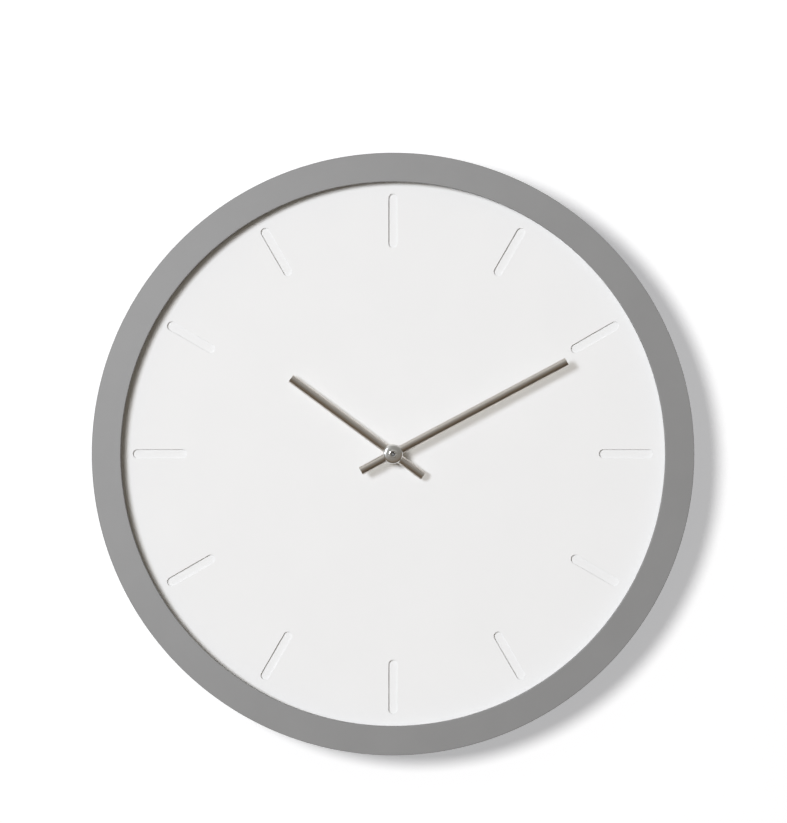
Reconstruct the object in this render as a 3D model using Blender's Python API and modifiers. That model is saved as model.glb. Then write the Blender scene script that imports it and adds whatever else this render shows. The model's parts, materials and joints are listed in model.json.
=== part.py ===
"""Round wall clock: a ring case, a recessed dial with twelve batons, two rod hands and a battery movement.

Every piece hangs on the empty clock_axis, whose X runs right, Y up and Z towards the viewer, with Z zero
at the wall. The origin of the model is the point where the nail enters the wall. Lengths are metres.
"""

import math

import bmesh
import bpy
from mathutils import Matrix, Vector

# Ring case
FRAME_DIAMETER = 0.350
FRAME_FACE_WIDTH = 0.0168
FRAME_WALL = 0.0026
FRAME_EDGE_ROUND = 0.0006
FRAME_FACE_SLOPE = math.radians(5)
RIB_THICKNESS = 0.0016
RIB_COUNT = 12
BOSS_RADIUS = 0.0031
FRAME_SIDES = 72
DIAL_SIDES = 36
EDGE_STEPS = 2

# Dial
DIAL_RECESS = 0.0103
DIAL_THICKNESS = 0.003
DIAL_OVERLAP = 0.0022
DIAL_SIDE_GAP = 0.0004
BATON_COUNT = 12
BATON_LENGTH = 0.0314
BATON_WIDTH = 0.0052
BATON_OUTER_RADIUS = 0.1513
BATON_DEPTH = 0.0014
BATON_END_STEPS = 6

# Clips that hold the dial, and their screws
CLIP_COUNT = 4
CLIP_FIRST_ANGLE = math.radians(45)
CLIP_WIDTH = 0.010
CLIP_GRIP = 0.008
CLIP_THICKNESS = 0.001
CLIP_CORNER_RADIUS = 0.0025
SCREW_HEAD_RADIUS = 0.0028
SCREW_HEAD_HEIGHT = 0.0016
SCREW_HEAD_EDGE = 0.0009
SCREW_SHANK_RADIUS = 0.0012
SCREW_SHANK_LENGTH = 0.007

# Clearances
SEAT_GAP = 0.0003
RUN_GAP = 0.00006
PRESS_GAP = 0.0001
HAND_GAP = 0.0004
WALL_CLEARANCE = 0.0025
OVERRUN = 0.001
EMBED = 0.0002
MERGE_DISTANCE = 0.000002

# Hands
ROD_DIAMETER = 0.0052
ROD_EDGE_ROUND = 0.0003
HOUR_REACH = 0.0739
HOUR_TAIL = 0.0218
HOUR_ANGLE = math.radians(143.45)
MINUTE_REACH = 0.1144
MINUTE_TAIL = 0.0212
MINUTE_ANGLE = math.radians(27.95)
COLLET_DIAMETER = 0.0113
COLLET_THICKNESS = 0.0009
HUB_CAP_DIAMETER = 0.0115
HUB_CAP_EDGE_ROUND = 0.0014
HUB_CAP_EDGE_STEPS = 3
GROOVE_STEPS = 6
HUB_CAP_COVER = 0.0011
HUB_CAP_SKIRT = 0.0014
CAP_NUT_DIAMETER = 0.0049
CAP_NUT_HEIGHT = 0.0014
CAP_NUT_EDGE = 0.0004
CAP_NUT_HOLE_DIAMETER = 0.003
THREAD_RADIUS = 0.0012
THREAD_SINK = 0.0005

# Arbor, pipe and bushing through the dial
MINUTE_ARBOR_RADIUS = 0.0015
MINUTE_ARBOR_REAR_RADIUS = 0.001
HOUR_PIPE_RADIUS = 0.0025
BUSHING_RADIUS = 0.0036
BUSHING_FLANGE_RADIUS = 0.0055
BUSHING_FLANGE_THICKNESS = 0.0006
SHAFT_NUT_HEIGHT = 0.0016
SHAFT_NUT_FLATS = 0.0096
NUT_SIDES = 6

# Rubber washer and hanger plate
RUBBER_THICKNESS = 0.001
RUBBER_RADIUS = 0.014
HANGER_THICKNESS = 0.001
HANGER_WIDTH = 0.036
HANGER_BELOW_AXIS = 0.014
HANGER_TAB_DISTANCE = 0.008
HANGER_TAB_HEIGHT = 0.016
HANGER_BEND_RUN = 0.003
NOTCH_HEIGHT = 0.010
NOTCH_TOOTH_HEIGHT = 0.0025
NOTCH_HALF_WIDTH = 0.011
NOTCH_TEETH = 3

# Movement case
TRAIN_SIDE_GAP = 0.0022
CASE_WALL = 0.0012
CASE_FLOOR = 0.0015
CASE_CORNER_RADIUS = 0.003
COVER_THICKNESS = 0.0012

# Battery, its spring and its contact
BATTERY_DIAMETER = 0.0145
BATTERY_LENGTH = 0.0505
BATTERY_NUB_LENGTH = 0.001
BATTERY_NUB_RADIUS = 0.00275
BATTERY_EDGE_ROUND = 0.0008
BATTERY_SLACK = 0.0003
BATTERY_STAND_OFF = 0.0002
SPRING_LENGTH = 0.0032
SPRING_WIRE = 0.0004
SPRING_SMALL_RADIUS = 0.002
SPRING_LARGE_RADIUS = 0.004
SPRING_TURNS = 2.5
CONTACT_THICKNESS = 0.0004
CONTACT_SIZE = 0.009
CONTACT_CORNER_RADIUS = 0.002

# Gear layers, counted back from the dial side of the case
WHEEL_THICKNESS = 0.0008
LAYER_GAP = 0.0005
PINION_OVERHANG = 0.0001
HOUR_LAYER = 0
MOTION_LAYER = 1
CENTRE_LAYER = 2
THIRD_LAYER = 3
SECONDS_LAYER = 4
INTERMEDIATE_LAYER = 5
ROTOR_LAYER = 6

# Teeth, and centre distances as shares of half the case's inner width
HOUR_TEETH = 24
MOTION_PINION_LEAVES = 6
MOTION_TEETH = 24
CANNON_LEAVES = 8
SETTING_LEAVES = 8
CENTRE_TEETH = 45
THIRD_LEAVES = 6
THIRD_TEETH = 48
SECONDS_LEAVES = 6
SECONDS_TEETH = 30
INTERMEDIATE_LEAVES = 6
INTERMEDIATE_TEETH = 36
ROTOR_LEAVES = 6
MOTION_DISTANCE_SHARE = 0.2925
TRAIN_DISTANCE_SHARE = 0.329
ROTOR_DISTANCE_SHARE = 0.256
MOTION_DIRECTION = math.radians(90)
SETTING_DIRECTION = math.radians(60)
THIRD_DIRECTION = math.radians(30)
INTERMEDIATE_DIRECTION = math.radians(150)
ROTOR_DIRECTION = math.radians(200)
WHEEL_ROOT_SHARE = 0.66
WHEEL_TOP_SHARE = 0.28
WHEEL_ADDENDUM_SHARE = 1.1
WHEEL_DEDENDUM_SHARE = 1.0
LEAF_ROOT_SHARE = 0.55
LEAF_TOP_SHARE = 0.5
LEAF_ADDENDUM_SHARE = 0.5
LEAF_DEDENDUM_SHARE = 1.6

# Arbors, posts and pillars
ARBOR_RADIUS = 0.0004
MOTION_POST_RADIUS = 0.0005
SETTING_ARBOR_RADIUS = 0.001
PIVOT_BOSS_RADIUS = 0.0012
PILLAR_RADIUS = 0.0015
PILLAR_SHOULDER_RADIUS = 0.0022
STAKE_RADIUS = 0.0006
STAKE_LENGTH = 0.0004
PILLAR_MARGIN_SHARE = 0.11

# Motor, bridge and circuit: shares of half the case's inner width, and of the coil's size
MAGNET_RADIUS_SHARE = 0.11
MAGNET_THICKNESS = 0.002
MAGNET_AIR_GAP = 0.0004
STATOR_THICKNESS = 0.001
STATOR_BAR_SHARE = 0.366
STATOR_ARM_SHARE = 0.11
COIL_RADIUS_SHARE = 0.1135
COIL_LENGTH_SHARE = 0.585
COIL_FLANGE_SHARE = 0.05
COIL_CORE_WIDTH_SHARE = 0.58
COIL_CORE_THICKNESS_SHARE = 0.32
BOBBIN_TUBE_SHARE = 0.61
COIL_HEIGHT = 0.004
BRIDGE_THICKNESS = 0.001
BOARD_THICKNESS = 0.0008
BOARD_HEIGHT = 0.0205
BOARD_DEPTH = 0.0116
BOARD_MARGIN = 0.0025
CRYSTAL_RADIUS = 0.001
CRYSTAL_LENGTH = 0.006
CHIP_RADIUS = 0.0025
CHIP_HEIGHT = 0.001
CHIP_RISE = 0.0065

# Setting knob
KNOB_RADIUS = 0.008
KNOB_THICKNESS = 0.0024
KNOB_FLUTES = 20
KNOB_FLUTE_DEPTH = 0.0005

# Sides of round pieces
PIVOT_SIDES = 8
SMALL_SIDES = 10
ARBOR_SIDES = 16
ROD_SIDES = 20
LARGE_SIDES = 20
SHARP_ANGLE = math.radians(32)
FLAT_ANGLE = math.radians(0.1)

# Radii that follow from the sizes above
FRAME_RADIUS = FRAME_DIAMETER / 2
FRAME_INNER_RADIUS = FRAME_RADIUS - FRAME_FACE_WIDTH
DIAL_RADIUS = FRAME_INNER_RADIUS + DIAL_OVERLAP
DIAL_POCKET_RADIUS = DIAL_RADIUS + DIAL_SIDE_GAP
CHANNEL_INNER_RADIUS = DIAL_POCKET_RADIUS + FRAME_WALL
CHANNEL_OUTER_RADIUS = FRAME_RADIUS - FRAME_WALL
BOSS_CENTRE_RADIUS = (CHANNEL_INNER_RADIUS + CHANNEL_OUTER_RADIUS) / 2
ROD_RADIUS = ROD_DIAMETER / 2
BUSHING_HOLE_RADIUS = BUSHING_RADIUS + SEAT_GAP
BATTERY_RADIUS = BATTERY_DIAMETER / 2

# Depths through the stack, from the dial back to the wall
MOVEMENT_DEPTH = CASE_FLOOR + BATTERY_SLACK + BATTERY_DIAMETER + BATTERY_STAND_OFF
MOUNT_STACK = RUBBER_THICKNESS + HANGER_THICKNESS + 3 * SEAT_GAP
KNOB_STACK = KNOB_THICKNESS + HAND_GAP
FRAME_DEPTH = DIAL_RECESS + DIAL_THICKNESS + MOUNT_STACK + MOVEMENT_DEPTH + KNOB_STACK + WALL_CLEARANCE
FRONT_Z = FRAME_DEPTH
DIAL_FRONT_Z = FRONT_Z - DIAL_RECESS
DIAL_BACK_Z = DIAL_FRONT_Z - DIAL_THICKNESS
HANGER_FRONT_Z = DIAL_BACK_Z - RUBBER_THICKNESS - 2 * SEAT_GAP
MOVEMENT_Z = HANGER_FRONT_Z - HANGER_THICKNESS - SEAT_GAP

# Heights in front of the dial
SHAFT_NUT_Z = DIAL_FRONT_Z + SEAT_GAP
COLLET_Z = SHAFT_NUT_Z + SHAFT_NUT_HEIGHT + SEAT_GAP
HOUR_ROD_Z = COLLET_Z + COLLET_THICKNESS + SEAT_GAP + ROD_RADIUS
MINUTE_ROD_Z = HOUR_ROD_Z + ROD_RADIUS + HAND_GAP + ROD_RADIUS
HUB_CAP_TOP_Z = MINUTE_ROD_Z + ROD_RADIUS + HUB_CAP_COVER
CAP_NUT_Z = HUB_CAP_TOP_Z + SEAT_GAP
THREAD_TOP_Z = CAP_NUT_Z + CAP_NUT_HEIGHT - THREAD_SINK

# The movement's width, which the battery sets, and the gear distances in it
CONTACT_SPACE = CONTACT_THICKNESS + 2 * SEAT_GAP
CASE_WIDTH = 2 * CASE_WALL + SPRING_LENGTH + BATTERY_LENGTH + CONTACT_SPACE
CASE_INNER_HALF = CASE_WIDTH / 2 - CASE_WALL
MOTION_DISTANCE = MOTION_DISTANCE_SHARE * CASE_INNER_HALF
TRAIN_DISTANCE = TRAIN_DISTANCE_SHARE * CASE_INNER_HALF
ROTOR_DISTANCE = ROTOR_DISTANCE_SHARE * CASE_INNER_HALF
PILLAR_MARGIN = PILLAR_MARGIN_SHARE * CASE_INNER_HALF


def module_for(distance, teeth, leaves):
    """The module that fits two gears to their centre distance."""
    return 2 * distance / (teeth + leaves)


MOTION_MODULE = module_for(MOTION_DISTANCE, MOTION_TEETH, CANNON_LEAVES)
HOUR_MODULE = module_for(MOTION_DISTANCE, HOUR_TEETH, MOTION_PINION_LEAVES)
SETTING_MODULE = module_for(MOTION_DISTANCE, MOTION_TEETH, SETTING_LEAVES)
CENTRE_MODULE = module_for(TRAIN_DISTANCE, CENTRE_TEETH, THIRD_LEAVES)
THIRD_MODULE = module_for(TRAIN_DISTANCE, THIRD_TEETH, SECONDS_LEAVES)
SECONDS_MODULE = module_for(TRAIN_DISTANCE, SECONDS_TEETH, INTERMEDIATE_LEAVES)
INTERMEDIATE_MODULE = module_for(ROTOR_DISTANCE, INTERMEDIATE_TEETH, ROTOR_LEAVES)
CENTRE_TIP_RADIUS = CENTRE_MODULE * (CENTRE_TEETH / 2 + WHEEL_ADDENDUM_SHARE)

# The movement's height: the gears lie over the battery, and the hands turn about its middle
GEAR_POCKET_LOW = -CENTRE_TIP_RADIUS - TRAIN_SIDE_GAP
BATTERY_POCKET_HIGH = GEAR_POCKET_LOW - CASE_WALL
BATTERY_POCKET_LOW = BATTERY_POCKET_HIGH - BATTERY_DIAMETER - 2 * BATTERY_SLACK
CASE_HALF_HEIGHT = CASE_WALL - BATTERY_POCKET_LOW
GEAR_POCKET_HIGH = CASE_HALF_HEIGHT - CASE_WALL
BATTERY_Y = (BATTERY_POCKET_LOW + BATTERY_POCKET_HIGH) / 2
BATTERY_DEPTH = CASE_FLOOR + BATTERY_SLACK + BATTERY_RADIUS
CASE_INNER_CORNER = CASE_CORNER_RADIUS - CASE_WALL
CASE_RIM_DEPTH = MOVEMENT_DEPTH - COVER_THICKNESS - SEAT_GAP

# The hanger plate: its tab bends back towards the wall above the case
TAB_LOW_Y = CASE_HALF_HEIGHT + SEAT_GAP + HANGER_BEND_RUN
TAB_HIGH_Y = TAB_LOW_Y + HANGER_TAB_HEIGHT
NOTCH_LOW_Y = (TAB_LOW_Y + TAB_HIGH_Y - NOTCH_HEIGHT) / 2
HANG_HEIGHT = NOTCH_LOW_Y + NOTCH_HEIGHT

CLOCK_NAME = "round_wall_clock"


def polar(radius, angle, centre=(0, 0)):
    """The point at a distance and an angle from a centre."""
    return (centre[0] + radius * math.cos(angle), centre[1] + radius * math.sin(angle))


def layer_depth(layer):
    """How deep in the case the front face of a gear layer lies."""
    return CASE_FLOOR + BATTERY_SLACK + layer * (WHEEL_THICKNESS + LAYER_GAP)


def movement_z(depth):
    """The height over the wall of a place given by its depth in the movement."""
    return MOVEMENT_Z - depth


# Gear axes in the plane of the dial
CENTRE = (0, 0)
MOTION_AXIS = polar(MOTION_DISTANCE, MOTION_DIRECTION)
SETTING_AXIS = polar(MOTION_DISTANCE, SETTING_DIRECTION, MOTION_AXIS)
THIRD_AXIS = polar(TRAIN_DISTANCE, THIRD_DIRECTION)
INTERMEDIATE_AXIS = polar(TRAIN_DISTANCE, INTERMEDIATE_DIRECTION)
ROTOR_AXIS = polar(ROTOR_DISTANCE, ROTOR_DIRECTION, INTERMEDIATE_AXIS)

# The coil's radius and length follow the case, and its core, tube and flanges follow them
COIL_RADIUS = COIL_RADIUS_SHARE * CASE_INNER_HALF
COIL_LENGTH = COIL_LENGTH_SHARE * CASE_INNER_HALF
COIL_CORE_WIDTH = COIL_CORE_WIDTH_SHARE * COIL_RADIUS
COIL_CORE_THICKNESS = COIL_CORE_THICKNESS_SHARE * COIL_RADIUS
BOBBIN_TUBE_RADIUS = BOBBIN_TUBE_SHARE * COIL_RADIUS
COIL_FLANGE_THICKNESS = COIL_FLANGE_SHARE * COIL_LENGTH

# Depths of the motor, the bridge and the circuit board
MAGNET_DEPTH = layer_depth(ROTOR_LAYER)
STATOR_DEPTH = MAGNET_DEPTH + (MAGNET_THICKNESS - STATOR_THICKNESS) / 2
CORE_DEPTH = STATOR_DEPTH - SEAT_GAP - COIL_CORE_THICKNESS
BRIDGE_DEPTH = MAGNET_DEPTH + MAGNET_THICKNESS + LAYER_GAP

# The motor stands between the train and the left wall
MAGNET_RADIUS = MAGNET_RADIUS_SHARE * CASE_INNER_HALF
STATOR_HOLE_RADIUS = MAGNET_RADIUS + MAGNET_AIR_GAP
STATOR_BAR_WIDTH = STATOR_BAR_SHARE * CASE_INNER_HALF
STATOR_ARM_WIDTH = STATOR_ARM_SHARE * CASE_INNER_HALF
COIL_X = -CASE_INNER_HALF + SEAT_GAP + COIL_RADIUS
STATOR_LEFT = COIL_X - COIL_CORE_WIDTH
STATOR_BAR_LEFT = ROTOR_AXIS[0] - STATOR_BAR_WIDTH / 2
STATOR_BAR_RIGHT = ROTOR_AXIS[0] + STATOR_BAR_WIDTH / 2
STATOR_WINDOW_LOW = COIL_HEIGHT - COIL_LENGTH / 2 - 2 * SEAT_GAP
STATOR_WINDOW_HIGH = COIL_HEIGHT + COIL_LENGTH / 2 + 2 * SEAT_GAP
STATOR_LOW = STATOR_WINDOW_LOW - STATOR_ARM_WIDTH
STATOR_HIGH = STATOR_WINDOW_HIGH + STATOR_ARM_WIDTH

# Pillars that carry the bridge: two go through the stator, two stand right of the train
STATOR_PILLARS = (
    (ROTOR_AXIS[0], STATOR_LOW + PILLAR_MARGIN),
    (ROTOR_AXIS[0], STATOR_HIGH - PILLAR_MARGIN),
)
RIGHT_PILLARS = (
    (CENTRE_TIP_RADIUS + PILLAR_MARGIN, GEAR_POCKET_LOW + PILLAR_MARGIN),
    (THIRD_AXIS[0] + PILLAR_MARGIN + PILLAR_RADIUS, SETTING_AXIS[1]),
)
BRIDGE_CORNERS = (STATOR_PILLARS[0], RIGHT_PILLARS[0], RIGHT_PILLARS[1], STATOR_PILLARS[1])
BRIDGE_RIGHT = max(spot[0] for spot in RIGHT_PILLARS) + PILLAR_MARGIN

# The circuit board fills the width between the bridge and the right wall
BOARD_LEFT = BRIDGE_RIGHT + SEAT_GAP
BOARD_RIGHT = CASE_INNER_HALF - SEAT_GAP
BOARD_LOW = GEAR_POCKET_LOW + SEAT_GAP
BOARD_HIGH = BOARD_LOW + BOARD_HEIGHT
BOARD_POSTS = (
    (BOARD_RIGHT - BOARD_MARGIN, BOARD_LOW + BOARD_MARGIN),
    (BOARD_RIGHT - BOARD_MARGIN, BOARD_HIGH - BOARD_MARGIN),
)


def clear_scene():
    """Removes what the scene holds."""
    for old in list(bpy.data.objects):
        bpy.data.objects.remove(old, do_unlink=True)


def new_collection(name):
    """A collection in the scene."""
    collection = bpy.data.collections.new(name)
    bpy.context.scene.collection.children.link(collection)
    return collection


def new_material(name, colour, roughness, metallic=0.0):
    """A Principled material."""
    material = bpy.data.materials.new(name)
    material.use_nodes = True
    shader = material.node_tree.nodes["Principled BSDF"]
    shader.inputs["Base Color"].default_value = (*colour, 1)
    shader.inputs["Roughness"].default_value = roughness
    shader.inputs["Metallic"].default_value = metallic
    return material


clear_scene()
PARTS = new_collection(CLOCK_NAME)
CUTTERS = new_collection("cutters")

GREY_PAINT = new_material("grey_paint", (0.28, 0.28, 0.28), 0.7)
DIAL_WHITE = new_material("dial_white", (0.86, 0.86, 0.84), 0.8)
SATIN_NICKEL = new_material("satin_nickel", (0.66, 0.63, 0.57), 0.3, 1.0)
CHROME = new_material("chrome", (0.8, 0.8, 0.8), 0.1, 1.0)
STEEL = new_material("steel", (0.55, 0.55, 0.56), 0.35, 1.0)
BRASS = new_material("brass", (0.75, 0.56, 0.28), 0.3, 1.0)
BLACK_PLASTIC = new_material("black_plastic", (0.03, 0.03, 0.03), 0.5)
WHITE_PLASTIC = new_material("white_plastic", (0.75, 0.75, 0.7), 0.4)
RUBBER = new_material("rubber", (0.04, 0.04, 0.04), 0.9)
MAGNET = new_material("magnet", (0.1, 0.1, 0.1), 0.5, 0.5)
COPPER = new_material("copper", (0.6, 0.25, 0.12), 0.35, 1.0)
BOARD_GREEN = new_material("board_green", (0.05, 0.22, 0.08), 0.4)
BATTERY_SLEEVE = new_material("battery_sleeve", (0.12, 0.12, 0.13), 0.35)


def new_empty(name, parent=None, location=(0, 0, 0), rotation=(0, 0, 0)):
    """An empty that carries pieces or marks a joint's axis."""
    empty = bpy.data.objects.new(name, None)
    empty.location = location
    empty.rotation_euler = rotation
    empty.parent = parent
    empty.empty_display_size = ROD_DIAMETER
    PARTS.objects.link(empty)
    return empty


CLOCK_AXIS = new_empty("clock_axis", None, (0, 0, -HANG_HEIGHT), (math.pi / 2, 0, 0))
MINUTE_AXIS_EMPTY = new_empty("minute_axis", CLOCK_AXIS)
HOUR_AXIS_EMPTY = new_empty("hour_axis", CLOCK_AXIS)
SECONDS_AXIS_EMPTY = new_empty("seconds_axis", CLOCK_AXIS)
MOTION_AXIS_EMPTY = new_empty("motion_axis", CLOCK_AXIS, (*MOTION_AXIS, 0))
SETTING_AXIS_EMPTY = new_empty("setting_axis", CLOCK_AXIS, (*SETTING_AXIS, 0))
THIRD_AXIS_EMPTY = new_empty("third_axis", CLOCK_AXIS, (*THIRD_AXIS, 0))
INTERMEDIATE_AXIS_EMPTY = new_empty("intermediate_axis", CLOCK_AXIS, (*INTERMEDIATE_AXIS, 0))
ROTOR_AXIS_EMPTY = new_empty("rotor_axis", CLOCK_AXIS, (*ROTOR_AXIS, 0))


def place(name, mesh, parent, material, location=(0, 0, 0), rotation=(0, 0, 0)):
    """A part's object, on its parent."""
    part = bpy.data.objects.new(name, mesh)
    part.location = location
    part.rotation_euler = rotation
    part.parent = parent
    if material is None:
        part.display_type = "WIRE"
        part.hide_render = True
        CUTTERS.objects.link(part)
    else:
        mesh.materials.append(material)
        PARTS.objects.link(part)
    return part


def evaluated_mesh(part):
    """A mesh of the object as its modifiers leave it."""
    graph = bpy.context.evaluated_depsgraph_get()
    return bpy.data.meshes.new_from_object(part.evaluated_get(graph))


def turned(name, profile, sides, parent, material, location=(0, 0, 0), rotation=(0, 0, 0)):
    """A profile of (radius, height) points turned about Z, running down the outer side."""
    mesh = bpy.data.meshes.new(name)
    shape = bmesh.new()
    spots = [shape.verts.new((radius, 0, height)) for radius, height in profile]
    for start, end in zip(spots, spots[1:]):
        shape.edges.new((start, end))
    if profile[0][0] > 0:
        shape.edges.new((spots[-1], spots[0]))
    shape.to_mesh(mesh)
    shape.free()
    part = place(name, mesh, parent, material, location, rotation)
    turn = part.modifiers.new("turn", "SCREW")
    turn.steps = sides
    turn.render_steps = sides
    turn.use_merge_vertices = True
    turn.merge_threshold = MERGE_DISTANCE
    turn.use_smooth_shade = True
    return part


def rod_profile(radius, low, high):
    """The profile of a plain cylinder."""
    return ((0, high), (radius, high), (radius, low), (0, low))


def tube_profile(inner, outer, low, high):
    """The profile of a plain tube or washer."""
    return ((inner, high), (outer, high), (outer, low), (inner, low))


def extruded(name, outlines, low, high, parent, material, rotation=(0, 0, 0), shift=(0, 0, 0)):
    """Flat outlines, the later ones holes, filled and drawn out from low to high along Z."""
    curve = bpy.data.curves.new(name + "_outline", "CURVE")
    curve.dimensions = "2D"
    curve.fill_mode = "BOTH"
    curve.extrude = (high - low) / 2
    for outline in outlines:
        spline = curve.splines.new("POLY")
        spline.points.add(len(outline) - 1)
        for spot, (x, y) in zip(spline.points, outline):
            spot.co = (x, y, 0, 1)
        spline.use_cyclic_u = True
    drawn = bpy.data.objects.new(name + "_outline", curve)
    PARTS.objects.link(drawn)
    mesh = evaluated_mesh(drawn)
    bpy.data.objects.remove(drawn)
    shape = bmesh.new()
    shape.from_mesh(mesh)
    bmesh.ops.remove_doubles(shape, verts=shape.verts, dist=MERGE_DISTANCE)
    bmesh.ops.dissolve_limit(shape, angle_limit=FLAT_ANGLE, verts=shape.verts, edges=shape.edges)
    bmesh.ops.translate(shape, verts=shape.verts, vec=(0, 0, (low + high) / 2))
    bmesh.ops.recalc_face_normals(shape, faces=shape.faces)
    shape.to_mesh(mesh)
    shape.free()
    mesh.name = name
    return place(name, mesh, parent, material, shift, rotation)


def cylinders(name, rods, parent):
    """One cutter that holds several cylinders: (centre, radius, low, high, sides) each."""
    mesh = bpy.data.meshes.new(name)
    shape = bmesh.new()
    for (x, y), radius, low, high, sides in rods:
        middle = Matrix.Translation((x, y, (low + high) / 2))
        bmesh.ops.create_cone(
            shape,
            cap_ends=True,
            segments=sides,
            radius1=radius,
            radius2=radius,
            depth=high - low,
            matrix=middle,
        )
    shape.to_mesh(mesh)
    shape.free()
    return place(name, mesh, parent, None)


def boxes(name, blocks, parent):
    """One cutter that holds several boxes: (size, matrix) each."""
    mesh = bpy.data.meshes.new(name)
    shape = bmesh.new()
    for size, matrix in blocks:
        scaled = matrix @ Matrix.Diagonal((*size, 1))
        bmesh.ops.create_cube(shape, size=1, matrix=scaled)
    shape.to_mesh(mesh)
    shape.free()
    return place(name, mesh, parent, None)


def combine(part, other, operation):
    """Cuts another object out of a part, or joins it on."""
    step = part.modifiers.new(other.name, "BOOLEAN")
    step.operation = operation
    step.solver = "EXACT"
    step.object = other


def cut(part, cutter):
    """Cuts a cutter out of a part."""
    combine(part, cutter, "DIFFERENCE")


def join(part, other):
    """Joins a helper shape to a part."""
    combine(part, other, "UNION")


def circle(radius, sides, centre=(0, 0)):
    """A round outline."""
    return [polar(radius, math.tau * side / sides, centre) for side in range(sides)]


def stadium(length, width, steps, centre, angle):
    """A slot outline with round ends, along an angle."""
    reach = (length - width) / 2
    outline = []
    for turn in (0, math.pi):
        end = polar(reach, angle + turn, centre)
        for step in range(steps + 1):
            outline.append(polar(width / 2, angle + turn - math.pi / 2 + math.pi * step / steps, end))
    return outline


def rounded_hull(corners, radius, steps):
    """The outline around a convex ring of corners, listed against the clock, at a distance from them."""
    outline = []
    for number, corner in enumerate(corners):
        before = Vector(corners[number - 1])
        after = Vector(corners[(number + 1) % len(corners)])
        incoming = Vector(corner) - before
        outgoing = after - Vector(corner)
        first = math.atan2(incoming.y, incoming.x) - math.pi / 2
        turn = (math.atan2(outgoing.y, outgoing.x) - math.pi / 2 - first) % math.tau
        for step in range(steps + 1):
            outline.append(polar(radius, first + turn * step / steps, corner))
    return outline


def rounded_rectangle(left, low, right, high, radius):
    """A rectangle with round corners."""
    corners = (
        (left + radius, low + radius),
        (right - radius, low + radius),
        (right - radius, high - radius),
        (left + radius, high - radius),
    )
    return rounded_hull(corners, radius, EDGE_STEPS)


def arc(centre, radius, first, last, steps):
    """Points along an arc."""
    return [polar(radius, first + (last - first) * step / steps, centre) for step in range(steps + 1)]


def toothed_outline(teeth, module, phase, root_share, top_share, addendum_share, dedendum_share):
    """Teeth with straight flanks, from a root circle to a tip circle on either side of the pitch circle."""
    pitch_radius = module * teeth / 2
    root = pitch_radius - dedendum_share * module
    tip = pitch_radius + addendum_share * module
    half = root_share * math.pi / teeth
    top = half * top_share
    outline = []
    for tooth in range(teeth):
        middle = phase + math.tau * tooth / teeth
        for radius, turn in ((root, -half), (tip, -top), (tip, top), (root, half)):
            outline.append(polar(radius, middle + turn))
    return outline


def wheel_outline(teeth, module, phase):
    """The outline of a wheel, with teeth that reach deep into the pinion."""
    shares = (WHEEL_ROOT_SHARE, WHEEL_TOP_SHARE, WHEEL_ADDENDUM_SHARE, WHEEL_DEDENDUM_SHARE)
    return toothed_outline(teeth, module, phase, *shares)


def leaf_outline(leaves, module, phase):
    """The outline of a pinion, with short leaves and deep gaps."""
    shares = (LEAF_ROOT_SHARE, LEAF_TOP_SHARE, LEAF_ADDENDUM_SHARE, LEAF_DEDENDUM_SHARE)
    return toothed_outline(leaves, module, phase, *shares)


def meshed_phase(driver_phase, driver_teeth, teeth, direction):
    """The phase that puts a gear's gaps on its driver's teeth, with the driver in the opposite direction."""
    return direction + math.pi - (driver_phase - direction) * driver_teeth / teeth + math.pi / teeth


# Phases that put the meshing pairs in step, worked out from the minute arbor
CANNON_PHASE = 0
MOTION_PHASE = meshed_phase(CANNON_PHASE, CANNON_LEAVES, MOTION_TEETH, MOTION_DIRECTION)
HOUR_PHASE = meshed_phase(MOTION_PHASE, MOTION_PINION_LEAVES, HOUR_TEETH, MOTION_DIRECTION + math.pi)
SETTING_PHASE = meshed_phase(MOTION_PHASE, MOTION_TEETH, SETTING_LEAVES, SETTING_DIRECTION)
THIRD_PHASE = meshed_phase(CANNON_PHASE, CENTRE_TEETH, THIRD_LEAVES, THIRD_DIRECTION)
SECONDS_PHASE = meshed_phase(THIRD_PHASE, THIRD_TEETH, SECONDS_LEAVES, THIRD_DIRECTION + math.pi)
INTERMEDIATE_PHASE = meshed_phase(SECONDS_PHASE, SECONDS_TEETH, INTERMEDIATE_LEAVES, INTERMEDIATE_DIRECTION)
ROTOR_PHASE = meshed_phase(INTERMEDIATE_PHASE, INTERMEDIATE_TEETH, ROTOR_LEAVES, ROTOR_DIRECTION)


def layer_z(layer):
    """The low and high face of a wheel in a gear layer."""
    front = movement_z(layer_depth(layer))
    return front - WHEEL_THICKNESS, front


def face_z(radius):
    """The height of the ring's face at a radius; it falls away slightly from the inner edge outwards."""
    return FRONT_Z - (radius - FRAME_INNER_RADIUS) * math.tan(FRAME_FACE_SLOPE)


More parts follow.
